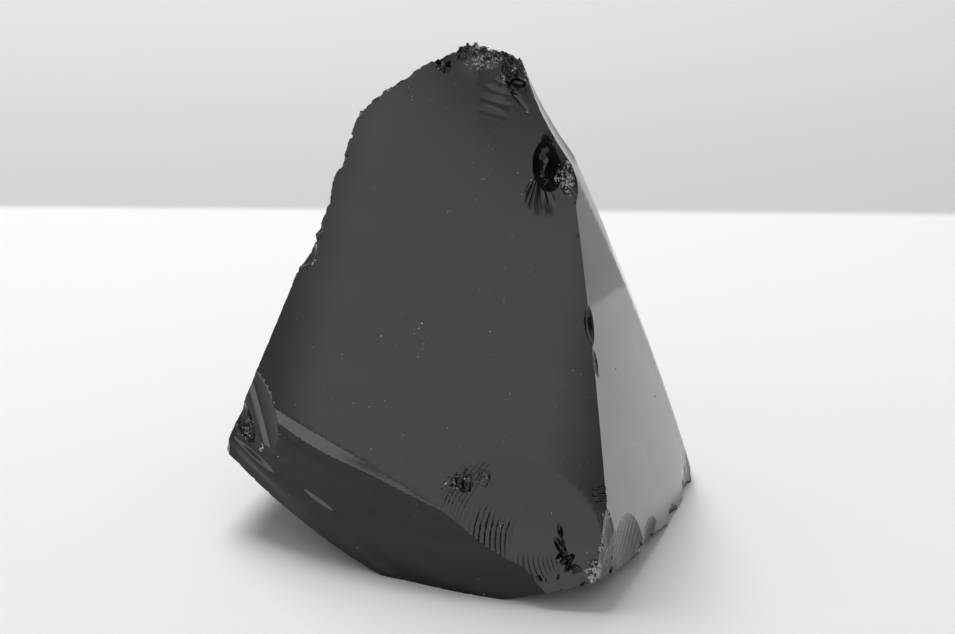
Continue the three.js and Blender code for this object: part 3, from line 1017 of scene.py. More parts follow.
def edge_scars() -> dict[str, Scar]:
    """The bites out of the top, the left side, the right heel and the long right arris."""
    return {
        "hollow": Scar(
            (19.8, 0.2, 95.8), (0.25, -1.0, 0.3), 6.0, 3.3, 4.0, 84.0, cell=0.3,
            reliefs=(Rough((22.0, 3.0, 95.0), 7.0, 0.3, 1.9, 211),),
        ),
        "hollow_top": Scar((22.6, 1.8, 99.6), (-0.2, -1.0, 0.35), 4.0, 3.0, 1.0, 130.0, cell=0.3),
        "hollow_side": Scar(
            (24.8, -0.6, 96.0), (0.6, -1.0, 0.2), 5.2, 2.4, 1.4, 100.0, cell=0.3, skin=Skin.RIPPLED,
            reliefs=(Rough((24.8, -0.6, 96.0), 6.0, 0.4, 0.9, 212),),
        ),
        "hollow_foot": Scar(
            (24.6, -2.6, 92.4), (0.4, -1.0, 0.2), 2.6, 2.0, 0.9, 40.0, cell=0.25, skin=Skin.CRUSHED,
            reliefs=(Rough((24.6, -2.6, 92.4), 4.0, 0.3, 0.7, 213),),
        ),
        "hollow_fan": Scar(
            (15.9, -1.3, 91.4), (-0.15, -0.9, 0.4), 2.8, 1.9, 0.05, 120.0, cell=0.16, lid=1.0,
            skin=Skin.RIPPLED,
            reliefs=(Hackles((18.5, 0.0, 95.0), (0.0, -1.0, 0.3), 90, 0.2, 2.0, 14.0, seed=214),),
        ),
        "crescents": Scar(
            (8.2, 10.03, 109.37), (-0.27, -0.855, 0.442), 8.0, 5.0, 0.03, 72.0, cell=0.22, lid=2.0,
            skin=Skin.RIPPLED,
            reliefs=(
                Ripples((12.5, 13.5, 117.0), 2.5, 0.17, 4.0, 16.5, (-0.45, -0.3, -0.85), 42.0, 0.5, seed=225),
            ),
        ),
        "flake": Scar(
            (5.4, 13.4, 115.4), (-0.05, -1.0, 0.42), 5.4, 3.4, 1.0, 65.0, cell=0.25, lid=4.0,
            reliefs=(
                Ripples((6.0, 15.0, 121.0), 1.4, 0.05, 2.0, 12.0, (0.0, 0.0, -1.0), 70.0, 0.6, seed=222),
            ),
        ),
        "apex_right": Scar((12.0, 13.0, 114.0), (0.5, -1.0, 0.5), 4.6, 2.4, 0.9, 100.0, cell=0.25, lid=4.0,
                           skin=Skin.RIPPLED, reliefs=(Rough((12.0, 13.0, 114.0), 7.0, 0.35, 1.0, 223),)),
        "cavity": Scar(
            (-4.0, 17.9, 116.0), (0.15, -1.0, 0.75), 4.2, 2.2, 2.0, 50.0, cell=0.25, skin=Skin.RIPPLED,
            reliefs=(Rough((-2.0, 18.0, 116.0), 7.0, 0.3, 0.9, 224),),
        ),
        "apex_chip": Scar(
            (7.0, 18.0, 120.9), (-0.1, 0.3, 1.0), 6.0, 4.0, 1.2, 0.0, cell=0.35, skin=Skin.CRUSHED,
            reliefs=(Rough((7.0, 18.0, 119.0), 9.0, 0.4, 1.4, 231),),
        ),
        **splinter_scars("apex_splinter", ((-1.0, 18.0, 118.0), (4.0, 17.0, 118.6), (11.0, 14.0, 117.0)),
                         (0.0, -0.8, 0.8), 16, 1.7, 64),
        "left_bite": Scar((-28.0, 20.5, 94.5), (-1.0, 0.35, 0.1), 5.5, 5.0, 1.5, 90.0, cell=0.4),
        "left_scallop": Scar(
            (-34.0, 15.0, 79.0), (-1.0, 0.3, 0.25), 13.0, 7.0, 1.9, 80.0, cell=0.45,
            reliefs=(Ripples((-34.0, 14.0, 92.0), 2.0, 0.07, 3.0, 30.0, (0.0, 0.0, -1.0), 80.0, seed=241),),
        ),
        "left_step": Scar((-37.5, 10.5, 69.0), (-1.0, 0.2, 0.9), 4.0, 4.0, 2.4, 60.0, cell=0.35),
        "nick_a": Scar((-23.7, 21.2, 103.4), (-1.0, -0.6, 0.5), 1.7, 1.3, 1.0, 40.0, cell=0.2, lid=3.0),
        "nick_b": Scar((-29.4, 17.2, 90.4), (-1.0, -0.2, 0.6), 1.6, 1.4, 1.1, 10.0, cell=0.2, lid=3.0),
        "nick_c": Scar((-32.6, 14.2, 81.3), (-1.0, -0.6, 0.2), 1.7, 1.1, 0.9, 80.0, cell=0.2, lid=3.0),
        "nick_d": Scar((-34.3, 11.2, 74.6), (-1.0, -0.8, 0.2), 2.4, 1.2, 0.8, 80.0, cell=0.2, lid=3.0,
                       skin=Skin.RIPPLED),
        "nick_e": Scar((-35.7, 9.7, 69.8), (-1.0, -0.9, 0.1), 2.4, 1.3, 0.8, 75.0, cell=0.2, lid=3.0,
                       skin=Skin.RIPPLED),
        "notch": Scar(
            (-52.6, 1.0, 26.2), (-0.9, -0.9, 0.75), 6.0, 2.8, 2.0, -50.0, cell=0.25,
            reliefs=(Rough((-53.5, 1.6, 26.5), 4.5, 0.45, 1.2, 251),),
        ),
        "notch_gap": Scar((-52.9, 1.9, 29.4), (-1.0, -0.3, 0.2), 1.8, 1.4, 1.3, 20.0, cell=0.2, lid=4.0),
        "notch_facet": Scar(
            (-48.2, -1.0, 28.2), (-0.57, -0.77, 0.29), 9.0, 2.2, 0.16, -62.0, cell=0.25, lid=1.5,
        ),
        "heel_tip": Scar((-58.2, 4.4, 20.0), (-1.0, -0.3, 0.1), 4.0, 3.0, 0.7, 80.0, cell=0.3, lid=4.0),
        "heel_notch": Scar(
            (53.4, 7.5, 1.2), (1.0, -0.5, -0.3), 4.6, 3.0, 1.2, 10.0, cell=0.3, skin=Skin.SIDE,
        ),
        "heel_blunt": Scar(
            (60.2, 29.0, 3.0), (1.0, 0.2, -0.1), 7.0, 6.0, 1.0, 90.0, cell=0.35, skin=Skin.SIDE,
        ),
        "heel_facet": Scar(
            (58.2, 25.5, 8.0), (1.0, -0.42, 0.06), 11.0, 4.2, 0.7, 74.0, cell=0.35, skin=Skin.SIDE,
            reliefs=(Hackles((56.0, 22.0, 22.0), (1.0, -0.4, 0.0), 110, 0.2, 4.0, 26.0, seed=263),),
        ),
        "arris_chip_high": Scar(
            (30.0, -15.3, 63.5), (0.5, -1.0, 0.1), 2.6, 1.3, 0.6, 85.0, cell=0.3, lid=4.0,
        ),
        "arris_chip_low": Scar(
            (31.8, -19.3, 55.3), (0.5, -1.0, 0.1), 3.4, 1.2, 0.6, 95.0, cell=0.3, lid=4.0,
        ),
    }


def hidden_scars() -> dict[str, Scar]:
    """The flake scars of the back, the left side and the base."""
    return {
        "back_hollow": Scar(
            (-30.0, 36.0, 42.0), (-0.6, 1.0, 0.4), 34.0, 22.0, 4.0, 65.0, cell=1.1,
            reliefs=(
                Ripples((-20.0, 38.0, 80.0), 3.5, 0.12, 6.0, 80.0, (-0.3, 0.0, -1.0), 80.0, seed=301),
            ),
        ),
        "back_scar": Scar(
            (10.0, 45.0, 34.0), (0.1, 1.0, 0.3), 30.0, 19.0, 2.6, 10.0, cell=1.0,
            reliefs=(Ripples((38.0, 44.0, 34.0), 3.0, 0.12, 5.0, 64.0, (-1.0, 0.0, 0.0), 80.0, seed=311),),
        ),
        "back_shell": Scar(
            (36.0, 36.0, 40.0), (0.7, 1.0, 0.4), 26.0, 15.0, 3.0, -60.0, cell=0.9,
            reliefs=(Ripples((26.0, 36.0, 64.0), 2.6, 0.1, 5.0, 56.0, (0.4, 0.0, -1.0), 80.0, seed=321),),
        ),
        "back_top": Scar(
            (6.0, 31.0, 94.0), (0.1, 1.0, 0.4), 18.0, 11.0, 2.2, 80.0, cell=0.8,
            reliefs=(Ripples((8.0, 26.0, 112.0), 2.4, 0.1, 4.0, 40.0, (0.0, 0.0, -1.0), 80.0, seed=331),),
        ),
        "back_foot": Scar(
            (-10.0, 51.0, 3.0), (-0.1, 1.0, -0.3), 16.0, 7.0, 2.4, 5.0, cell=0.8,
            reliefs=(Hackles((-10.0, 51.0, -2.0), (0.0, 1.0, 0.0), 40, 0.2, 3.0, 20.0, seed=341),),
        ),
        "left_shell": Scar(
            (-45.0, 20.0, 52.0), (-1.0, 0.55, 0.3), 20.0, 12.0, 2.2, 80.0, cell=0.8,
            reliefs=(
                Ripples((-38.0, 20.0, 72.0), 2.4, 0.08, 4.0, 44.0, (-0.2, 0.0, -1.0), 80.0, seed=351),
            ),
        ),
        "underside": Scar((12.0, 12.0, 0.0), (0.0, 0.0, -1.0), 22.0, 16.0, 1.6, 20.0, cell=1.2),
    }


def arris_wears() -> dict[str, ArrisWear]:
    """How the stretches of arris are chipped."""
    left_middle = (-38.0, 10.0, 66.0)
    side_top = (21.5, 4.0, 101.5)
    heel_front = (47.0, -11.0, 1.0)
    return {
        "left": ArrisWear((TOP_LEFT, (-33.0, 14.0, 80.0), left_middle), 6.0, 1.3, 0.4, 2.4, 401, 0.25, 0.1),
        "left_low": ArrisWear((left_middle, RIDGE_LEFT), 4.0, 2.4, 0.3, 1.2, 402, 0.35, 0.05),
        "top_left": ArrisWear(
            (APEX_LEFT, (-10.0, 19.5, 112.5), TOP_LEFT), 5.0, 1.2, 0.4, 2.2, 403, 0.25, 0.15,
        ),
        "apex": ArrisWear(
            (APEX_LEFT, APEX_RIGHT, APEX_BACK, APEX_LEFT), 7.0, 1.8, 0.4, 2.0, 404, 0.35, 0.4,
        ),
        "upper_right": ArrisWear((APEX_RIGHT, side_top, ARRIS_TOP), 5.0, 1.9, 0.3, 1.2, 405, crushed=0.25),
        "front_right": ArrisWear((ARRIS_TOP, ARRIS_FOOT), 3.0, 3.4, 0.2, 0.8, 406, bite=0.6, crushed=0.1),
        "ridge": ArrisWear((RIDGE_LEFT, RIDGE_MIDDLE), 3.0, 4.5, 0.2, 0.5, 407, bite=0.7),
        "lip": ArrisWear((RIDGE_MIDDLE, (8.0, -28.5, 27.5)), 3.5, 1.0, 0.25, 0.9, 408, crushed=0.2),
        "foot": ArrisWear((ARRIS_FOOT, TOE_RIGHT), 3.0, 0.9, 0.35, 1.3, 409, crushed=0.5),
        "toe_right": ArrisWear(((24.0, -40.1, 4.5), TOE_RIGHT), 3.0, 1.0, 0.3, 1.1, 415, crushed=0.5),
        "right_foot": ArrisWear(
            (TOE_RIGHT, heel_front, (56.0, 16.0, 2.0), HEEL_RIGHT), 6.0, 1.5, 0.3, 1.5, 410, crushed=0.2,
        ),
        "front_foot": ArrisWear(
            (HEEL_LEFT, TOE_LEFT, TOE, TOE_MIDDLE, (24.0, -40.1, 4.5)), 4.0, 3.0, 0.25, 0.9,
            411, crushed=0.2,
        ),
        "right_back": ArrisWear(
            ((31.0, 5.0, 82.0), (47.0, 18.0, 40.0), HEEL_RIGHT), 7.0, 2.8, 0.3, 1.2, 412, crushed=0.1,
        ),
        "notch": ArrisWear((RIDGE_LEFT, (-54.0, 2.0, 27.0), (-45.0, -6.0, 20.0)), 5.0, 1.2, 0.3, 1.1, 413,
                           crushed=0.4),
        "back_rims": ArrisWear(
            ((-10.0, 52.0, 0.0), (40.0, 48.0, 2.0), (30.0, 40.0, 60.0), (6.0, 34.0, 100.0)),
            9.0, 4.0, 0.3, 1.6, 414, crushed=0.1,
        ),
    }


@dataclass(frozen=True)
class Spot:
    """A round patch on the stone."""

    centre: Point
    radius: float
    amount: float = 1.0

    def cover(self, places: np.ndarray) -> np.ndarray:
        """How much of the patch reaches each place, 0 to its amount."""
        distance = np.linalg.norm(places - np.asarray(self.centre), axis=1)
        return self.amount * smooth(self.radius, self.radius * 0.3, distance)


CRUSHED_SPOTS = (
    Spot((32.0, -39.0, 9.0), 4.5, 0.9),
    Spot((35.0, -37.0, 15.0), 3.0, 0.6),
    Spot((35.0, -34.0, 21.0), 3.0, 0.5),
    Spot((43.0, -18.0, 2.5), 4.0, 0.7),
    Spot((-53.6, 1.8, 26.6), 3.4, 0.9),
    Spot((-48.7, -1.8, 23.2), 1.6, 0.7),
    Spot((6.0, 15.5, 119.0), 8.0, 0.6),
    Spot((24.5, -1.0, 92.5), 4.0, 0.8),
)
THIN_SPOTS = (
    Spot((5.0, 13.0, 117.0), 8.0),
    Spot((-26.0, 19.0, 98.0), 14.0, 0.25),
    Spot((-33.0, 13.5, 80.0), 13.0, 0.25),
    Spot((-40.0, 8.0, 62.0), 13.0, 0.2),
)


@dataclass
class Stone:
    """The obsidian chunk, knapped from a rough block."""

    skins: dict[Skin, bpy.types.Material]
    block_low: Point = (-78.0, -55.0, 0.0)
    block_high: Point = (78.0, 68.0, 132.0)
    faces: dict[str, BroadFace] = field(default_factory=broad_faces)
    wears: dict[str, ArrisWear] = field(default_factory=arris_wears)
    arris_angle: float = 28.0
    crease_angle: float = 24.0
    weld: float = 2e-6  # metres

    def rough_block(self) -> bpy.types.Object:
        """The block before any flake comes off, its lower face on the ground."""
        low, high = (to_metres(np.asarray(corner)) for corner in (self.block_low, self.block_high))
        work = bmesh.new()
        bmesh.ops.create_cube(work, size=1.0)
        for vertex in work.verts:
            vertex.co = Vector((low + (np.asarray(vertex.co) + 0.5) * (high - low)).tolist())
        mesh = bpy.data.meshes.new("rough_block")
        work.to_mesh(mesh)
        work.free()
        for skin in Skin:
            mesh.materials.append(self.skins[skin])
        block = bpy.data.objects.new("rough_block", mesh)
        bpy.context.scene.collection.objects.link(block)
        return block

    def strike(self, stone: bpy.types.Object, cutters: list[bpy.types.Mesh]) -> bpy.types.Object:
        """Takes all the cutters away from the stone at once.

        Args:
            stone: the stone so far.
            cutters: closed meshes, which may overlap.

        Returns:
            A new object that stands for the stone.
        """
        scene = bpy.context.scene.collection
        heap = bpy.data.collections.new("cutters")
        scene.children.link(heap)
        for mesh in cutters:
            heap.objects.link(bpy.data.objects.new(mesh.name, mesh))
        modifier = stone.modifiers.new("strike", "BOOLEAN")
        modifier.operation = "DIFFERENCE"
        modifier.operand_type = "COLLECTION"
        modifier.collection = heap
        modifier.solver = "MANIFOLD"
        modifier.material_mode = "TRANSFER"
        graph = bpy.context.evaluated_depsgraph_get()
        mesh = bpy.data.meshes.new_from_object(stone.evaluated_get(graph))
        made = bpy.data.objects.new(stone.name, mesh)
        scene.objects.link(made)
        for cutter in list(heap.objects):
            spent = cutter.data
            bpy.data.objects.remove(cutter)
            bpy.data.meshes.remove(spent)
        bpy.data.collections.remove(heap)
        bpy.data.objects.remove(stone)
        return made

    def flake_cutters(self) -> list[bpy.types.Mesh]:
        """The cutters of the broad faces and of the flake scars."""
        cutters = []
        for name, flake in {**self.faces, **front_scars(), **edge_scars(), **hidden_scars()}.items():
            mesh = flake.build(name)
            mesh.materials.append(self.skins[flake.skin])
            cutters.append(mesh)
        return cutters

    def chip_cutters(self, stone: bpy.types.Object) -> list[bpy.types.Mesh]:
        """The cutters that chip the stone's arrises."""
        tree = ChipTree(self.skins[Skin.RIPPLED], self.skins[Skin.CRUSHED])
        ends, outs = sharp_edges(stone.data, self.arris_angle)
        middles = ends.mean(1) / MM + np.asarray(FOOTPRINT_CENTRE)
        cutters = []
        for name, wear in self.wears.items():
            near = wear.distance(middles) < wear.near
            if not near.any():
                LOG.warning("no arris near %s", name)
                continue
            edges = edge_object(name, ends[near], outs[near])
            cutters += loose_parts(tree.cutters(f"chips_{name}", edges, wear))
        LOG.info("%d chips along the arrises", len(cutters))
        return cutters

    def build(self) -> bpy.types.Object:
        """Knaps the stone.

        Returns:
            The finished stone, as one closed mesh.
        """
        stone = self.strike(self.rough_block(), self.flake_cutters())
        stone = self.strike(stone, self.chip_cutters(stone))
        stone.name = stone.data.name = "obsidian_stone"
        self.finish_mesh(stone.data)
        return stone

    def finish_mesh(self, mesh: bpy.types.Mesh) -> None:
        """Triangulates the mesh, shades it smooth between creases and paints its patches."""
        work = bmesh.new()
        work.from_mesh(mesh)
        bmesh.ops.remove_doubles(work, verts=work.verts, dist=self.weld)
        bmesh.ops.dissolve_degenerate(work, edges=work.edges, dist=self.weld)
        bmesh.ops.triangulate(work, faces=work.faces)
        work.to_mesh(mesh)
        work.free()
        mesh.polygons.foreach_set("use_smooth", [True] * len(mesh.polygons))
        mesh.set_sharp_from_angle(angle=math.radians(self.crease_angle))
        flat = np.empty(3 * len(mesh.vertices))
        mesh.vertices.foreach_get("co", flat)
        places = flat.reshape(-1, 3) / MM + np.asarray(FOOTPRINT_CENTRE)
        for name, spots in (("crush", CRUSHED_SPOTS), ("thin", THIN_SPOTS)):
            layer = mesh.attributes.new(name, "FLOAT", "POINT")
            layer.data.foreach_set("value", np.max([spot.cover(places) for spot in spots], axis=0))


# ---- loose grains of glass ---------------------------------------------------------------------


@dataclass
class Crumbs:
    """Tiny grains of broken glass that cling to the stone."""

    skin: bpy.types.Material
    spots: tuple[Spot, ...]
    per_spot: int = 30
    small: float = 0.07
    large: float = 0.26
    seed: int = 77
    slimmest: Point = (0.5, 0.5, 0.4)
    stoutest: Point = (1.4, 1.2, 0.9)
    stray: float = 0.45  # how far the grains stray, as a share of the spot's radius

    def tree(self) -> bpy.types.NodeTree:
        """Geometry nodes that set grains on the points of a mesh."""
        tree = scatter_tree("glass_grains", ("Small", "Large"))
        wire = Wiring(tree)
        given = wire.node("NodeGroupInput").outputs
        size = wire.random_size(given["Small"], given["Large"], given["Seed"])
        shape = wire.random_vector(self.slimmest, self.stoutest, given["Seed"])
        ball = wire.node("GeometryNodeMeshIcoSphere", {"Radius": 1.0, "Subdivisions": 1}).outputs[0]
        solid = wire.scatter(given["Geometry"], ball, shape, size, given["Seed"])
        dressed = wire.node("GeometryNodeSetMaterial", {"Geometry": solid, "Material": self.skin})
        wire.node("NodeGroupOutput", {"Geometry": dressed.outputs[0]})
        return tree

    def places(self, stone: bpy.types.Object) -> list[Vector]:
        """Points scattered over the stone's surface inside the spots."""
        rng = np.random.default_rng(self.seed)
        found = []
        for spot in self.spots:
            middle = Vector(to_metres(np.asarray(spot.centre)).tolist())
            for _ in range(round(self.per_spot * spot.amount)):
                offset = Vector(rng.normal(0.0, spot.radius * MM * self.stray, 3).tolist())
                hit, place, _, _ = stone.closest_point_on_mesh(middle + offset)
                if hit:
                    found.append(place)
        return found

    def build(self, stone: bpy.types.Object) -> bpy.types.Object:
        """Scatters the grains.

        Args:
            stone: the finished stone.

        Returns:
            The grains, as one plain mesh.
        """
        mesh = bpy.data.meshes.new("grain_points")
        mesh.from_pydata([tuple(place) for place in self.places(stone)], [], [])
        made = bpy.data.objects.new("glass_crumbs", mesh)
        bpy.context.scene.collection.objects.link(made)
        values = {"Small": self.small * MM, "Large": self.large * MM, "Seed": self.seed}
        made.data = grown_mesh(made, self.tree(), values)
        return made


CRUMB_SPOTS = (
    Spot((6.9, 3.2, 95.4), 6.0, 1.2),
    Spot((-12.6, 17.1, 107.1), 3.5, 0.5),
    Spot((18.1, -10.4, 73.0), 2.5, 0.5),
    Spot((-9.1, -8.8, 59.3), 1.2, 0.4),
    Spot((-8.4, -11.3, 54.5), 1.5, 0.3),
    Spot((13.9, 0.0, 92.8), 4.0, 0.5),
    Spot((22.5, 0.0, 94.5), 3.0, 0.2),
    Spot((3.0, 16.0, 118.0), 6.0, 0.5),
    Spot((31.6, -38.9, 9.6), 4.0, 1.2),
    Spot((-3.0, -25.5, 26.5), 3.0, 0.5),
    Spot((10.0, -33.0, 17.0), 5.0, 0.5),
    Spot((-53.0, 1.4, 26.6), 3.0, 0.5),
    Spot((0.0, -15.0, 50.0), 30.0, 1.2),
    Spot((-30.0, 0.0, 45.0), 25.0, 0.8),
    Spot((46.0, -12.0, 35.0), 22.0, 0.5),
)


# ---- finishes --------------------------------------------------------------------------------


def speck_group() -> bpy.types.NodeTree:
    """Scattered round specks; outputs a mask."""
    group, wire, given, out = shader_group(
        "Dust specks", {"Scale": 700.0, "Size": 0.12, "Share": 0.03}, {"Mask": "NodeSocketFloat"})
    place = wire.node("ShaderNodeTexCoord").outputs["Object"]
    cells = wire.node("ShaderNodeTexVoronoi", {"Vector": place, "Scale": given.outputs["Scale"]})
    pick = wire.node("ShaderNodeSeparateColor", {"Color": cells.outputs["Color"]}).outputs[0]
    chosen = wire.math("LESS_THAN", pick, given.outputs["Share"])
    inside = wire.math("LESS_THAN", cells.outputs["Distance"], given.outputs["Size"])
    wire.feed(out.inputs["Mask"], wire.math("MULTIPLY", chosen, inside))
    return group


def drift_group() -> bpy.types.NodeTree:
    """Cloudy bands drawn out one way; outputs a value from 0 to 1."""
    group, wire, given, out = shader_group(
        "Drift bands", {"Turn": (0.0, 0.0, 0.0), "Stretch": (40.0, 40.0, 200.0), "Sharpness": 0.5},
        {"Value": "NodeSocketFloat"})
    place = wire.node("ShaderNodeTexCoord").outputs["Object"]
    mapping = {"Vector": place, "Rotation": given.outputs["Turn"], "Scale": given.outputs["Stretch"]}
    drawn = wire.node("ShaderNodeMapping", mapping).outputs[0]
    cloud = {"Vector": drawn, "Scale": 1.0, "Detail": 4.0, "Roughness": 0.6}
    noise = wire.node("ShaderNodeTexNoise", cloud).outputs[0]
    softest_low, softest_high, tightening = 0.3, 0.75, 0.2
    low = wire.math("MULTIPLY_ADD", given.outputs["Sharpness"], tightening, softest_low)
    high = wire.math("MULTIPLY_ADD", given.outputs["Sharpness"], -tightening, softest_high)
    wire.feed(out.inputs["Value"], wire.ramp(noise, low, high))
    return group


def crush_group() -> bpy.types.NodeTree:
    """Crushed glass; outputs how white each splinter is, and its height."""
    group, wire, given, out = shader_group(
        "Crushed glass", {"Scale": 2200.0, "Amount": 0.0},
        {"Whiteness": "NodeSocketFloat", "Height": "NodeSocketFloat"})
    place = wire.node("ShaderNodeTexCoord").outputs["Object"]
    cells = wire.node("ShaderNodeTexVoronoi", {"Vector": place, "Scale": given.outputs["Scale"]})
    pick = wire.node("ShaderNodeSeparateColor", {"Color": cells.outputs["Color"]}).outputs[0]
    cloud = wire.node("ShaderNodeTexNoise", {"Vector": place, "Scale": 420.0, "Detail": 3.0}).outputs[0]
    cloudiness, whole, crushing = 0.9, 1.55, 0.75
    level = wire.math("MULTIPLY_ADD", cloud, cloudiness, pick)
    threshold = wire.math("MULTIPLY_ADD", given.outputs["Amount"], -crushing, whole)
    over = wire.math("MAXIMUM", wire.math("SUBTRACT", level, threshold), 0.0)
    most, rounding, gain = 0.35, 0.1, 2.6
    white = wire.math("SMOOTH_MIN", over, most, rounding)
    wire.feed(out.inputs["Whiteness"], wire.math("MULTIPLY", white, gain, clamp=True))
    wire.feed(out.inputs["Height"], wire.math("MULTIPLY", pick, given.outputs["Amount"]))
    return group


@dataclass(frozen=True)
class GlassFinish:
    """Broken volcanic glass: black and glossy, with a film of dust, specks and crushed spots."""

    name: str
    colour: Colour = (0.005, 0.005, 0.0055, 1.0)
    film_colour: Colour = (0.5, 0.5, 0.51, 1.0)
    thin_colour: Colour = (0.036, 0.034, 0.027, 1.0)
    speck_colour: Colour = (0.35, 0.35, 0.35, 1.0)
    splinter_colour: Colour = (0.55, 0.55, 0.55, 1.0)
    roughness: float = 0.04
    ior: float = 1.5
    coat: float = 0.0
    haze: float = 0.006
    haze_turn: Point = (0.0, -0.75, 0.0)
    haze_stretch: Point = (45.0, 45.0, 180.0)
    specks: float = 0.012
    crushed: float = 0.0
    thin_share: float = 0.8
    film_roughness: float = 0.05
    splinter_roughness: float = 0.5
    splinter_bump: float = 0.9
    splinter_height: float = 0.00025  # metres

    def material(self, specks: bpy.types.NodeTree, drift: bpy.types.NodeTree,
                 crush: bpy.types.NodeTree) -> bpy.types.Material:
        """Builds the material.

        Args:
            specks: the "Dust specks" group.
            drift: the "Drift bands" group.
            crush: the "Crushed glass" group.

        Returns:
            The material.
        """
        made = bpy.data.materials.new(self.name)
        made.use_nodes = True
        wire = Wiring(made.node_tree)
        shader = made.node_tree.nodes["Principled BSDF"]
        bands = wire.node("ShaderNodeGroup", {}, node_tree=drift)
        bands.inputs["Turn"].default_value = self.haze_turn
        bands.inputs["Stretch"].default_value = self.haze_stretch
        dots = wire.node("ShaderNodeGroup", {}, node_tree=specks)
        dots.inputs["Share"].default_value = self.specks
        painted = wire.node("ShaderNodeAttribute", attribute_name="crush").outputs["Fac"]
        thin = wire.node("ShaderNodeAttribute", attribute_name="thin").outputs["Fac"]
        amount = wire.math("MAXIMUM", painted, self.crushed)
        splinters = wire.node("ShaderNodeGroup", {}, node_tree=crush)
        wire.feed(splinters.inputs["Amount"], amount)

        film = wire.math("MULTIPLY", bands.outputs["Value"], self.haze)
        colour = wire.blend(film, self.colour, self.film_colour)
        colour = wire.blend(wire.math("MULTIPLY", thin, self.thin_share), colour, self.thin_colour)
        colour = wire.blend(dots.outputs["Mask"], colour, self.speck_colour)
        colour = wire.blend(splinters.outputs["Whiteness"], colour, self.splinter_colour)
        wire.feed(shader.inputs["Base Color"], colour)

        polish = wire.math("MULTIPLY_ADD", bands.outputs["Value"], self.film_roughness, self.roughness)
        rough = wire.between(splinters.outputs["Whiteness"], polish, self.splinter_roughness)
        wire.feed(shader.inputs["Roughness"], rough)
        relief = {"Strength": self.splinter_bump, "Distance": self.splinter_height,
                  "Height": splinters.outputs["Height"]}
        wire.feed(shader.inputs["Normal"], wire.node("ShaderNodeBump", relief).outputs[0])
        shader.inputs["IOR"].default_value = self.ior
        shader.inputs["Coat Weight"].default_value = self.coat
        shader.inputs["Coat Roughness"].default_value = self.roughness
        return made


def stone_skins() -> dict[Skin, bpy.types.Material]:
    """The material of each skin."""
    finishes = {
        Skin.CLEAR: GlassFinish("clear_obsidian"),
        Skin.BANDED: GlassFinish("banded_obsidian", ior=1.44, haze_turn=(0.0, 0.3, -0.55),
                                 haze_stretch=(30.0, 60.0, 400.0)),
        Skin.SIDE: GlassFinish("side_obsidian", roughness=0.05, coat=1.0, haze=0.05,
                               haze_turn=(0.5, 0.0, 0.0), haze_stretch=(60.0, 60.0, 110.0)),
        Skin.RIPPLED: GlassFinish("rippled_obsidian", roughness=0.05, specks=0.02),
        Skin.CRUSHED: GlassFinish("crushed_obsidian", roughness=0.12, crushed=0.75),
    }
    groups = (speck_group(), drift_group(), crush_group())
    return {skin: finish.material(*groups) for skin, finish in finishes.items()}


# ---- the table, the light and the camera ------------------------------------------------------


@dataclass(frozen=True)
class Pane:
    """A soft-edged patch of the room, by its reach in azimuth and elevation, in degrees.

    Azimuth 0 looks along -Y and grows towards +X.
    """

    azimuth: tuple[float, float]
    elevation: tuple[float, float]
    azimuth_edge: float
    elevation_edge: float
    radiance: float

    def paint(self, wire: Wiring, azimuth: object, elevation: object, under: object) -> bpy.types.NodeSocket:
        """Blends the patch over what is under it.

        Args:
            wire: the world's wiring.
            azimuth: the azimuth socket.
            elevation: the elevation socket.
            under: the radiance so far.

        Returns:
            The radiance with the patch.
        """
        wide = self.window(wire, azimuth, self.azimuth, self.azimuth_edge)
        high = self.window(wire, elevation, self.elevation, self.elevation_edge)
        return wire.between(wire.math("MULTIPLY", wide, high), under, self.radiance)

    @staticmethod
    def window(wire: Wiring, value: object, reach: tuple[float, float], edge: float) -> bpy.types.NodeSocket:
        """One where a value is inside a reach, and zero beyond its soft edges."""
        low, high = reach
        rise = wire.ramp(value, low - edge, low + edge)
        fall = wire.ramp(value, high - edge, high + edge, 1.0, 0.0)
        return wire.math("MULTIPLY", rise, fall)


@dataclass(frozen=True)
class Lamp:
    """A round soft lamp that the glass doesn't mirror."""

    name: str
    spot: Point
    size: float
    power: float
    colour: Point

    def hang(self) -> None:
        """Sets the lamp where it shines on the stone."""
        data = bpy.data.lights.new(self.name, "AREA")
        data.shape = "DISK"
        data.size = self.size
        data.energy = self.power
        data.color = self.colour
        made = bpy.data.objects.new(self.name, data)
        made.location = self.spot
        made.rotation_euler = (-Vector(self.spot)).to_track_quat("-Z", "Y").to_euler()
        made.visible_glossy = False
        bpy.context.scene.collection.objects.link(made)


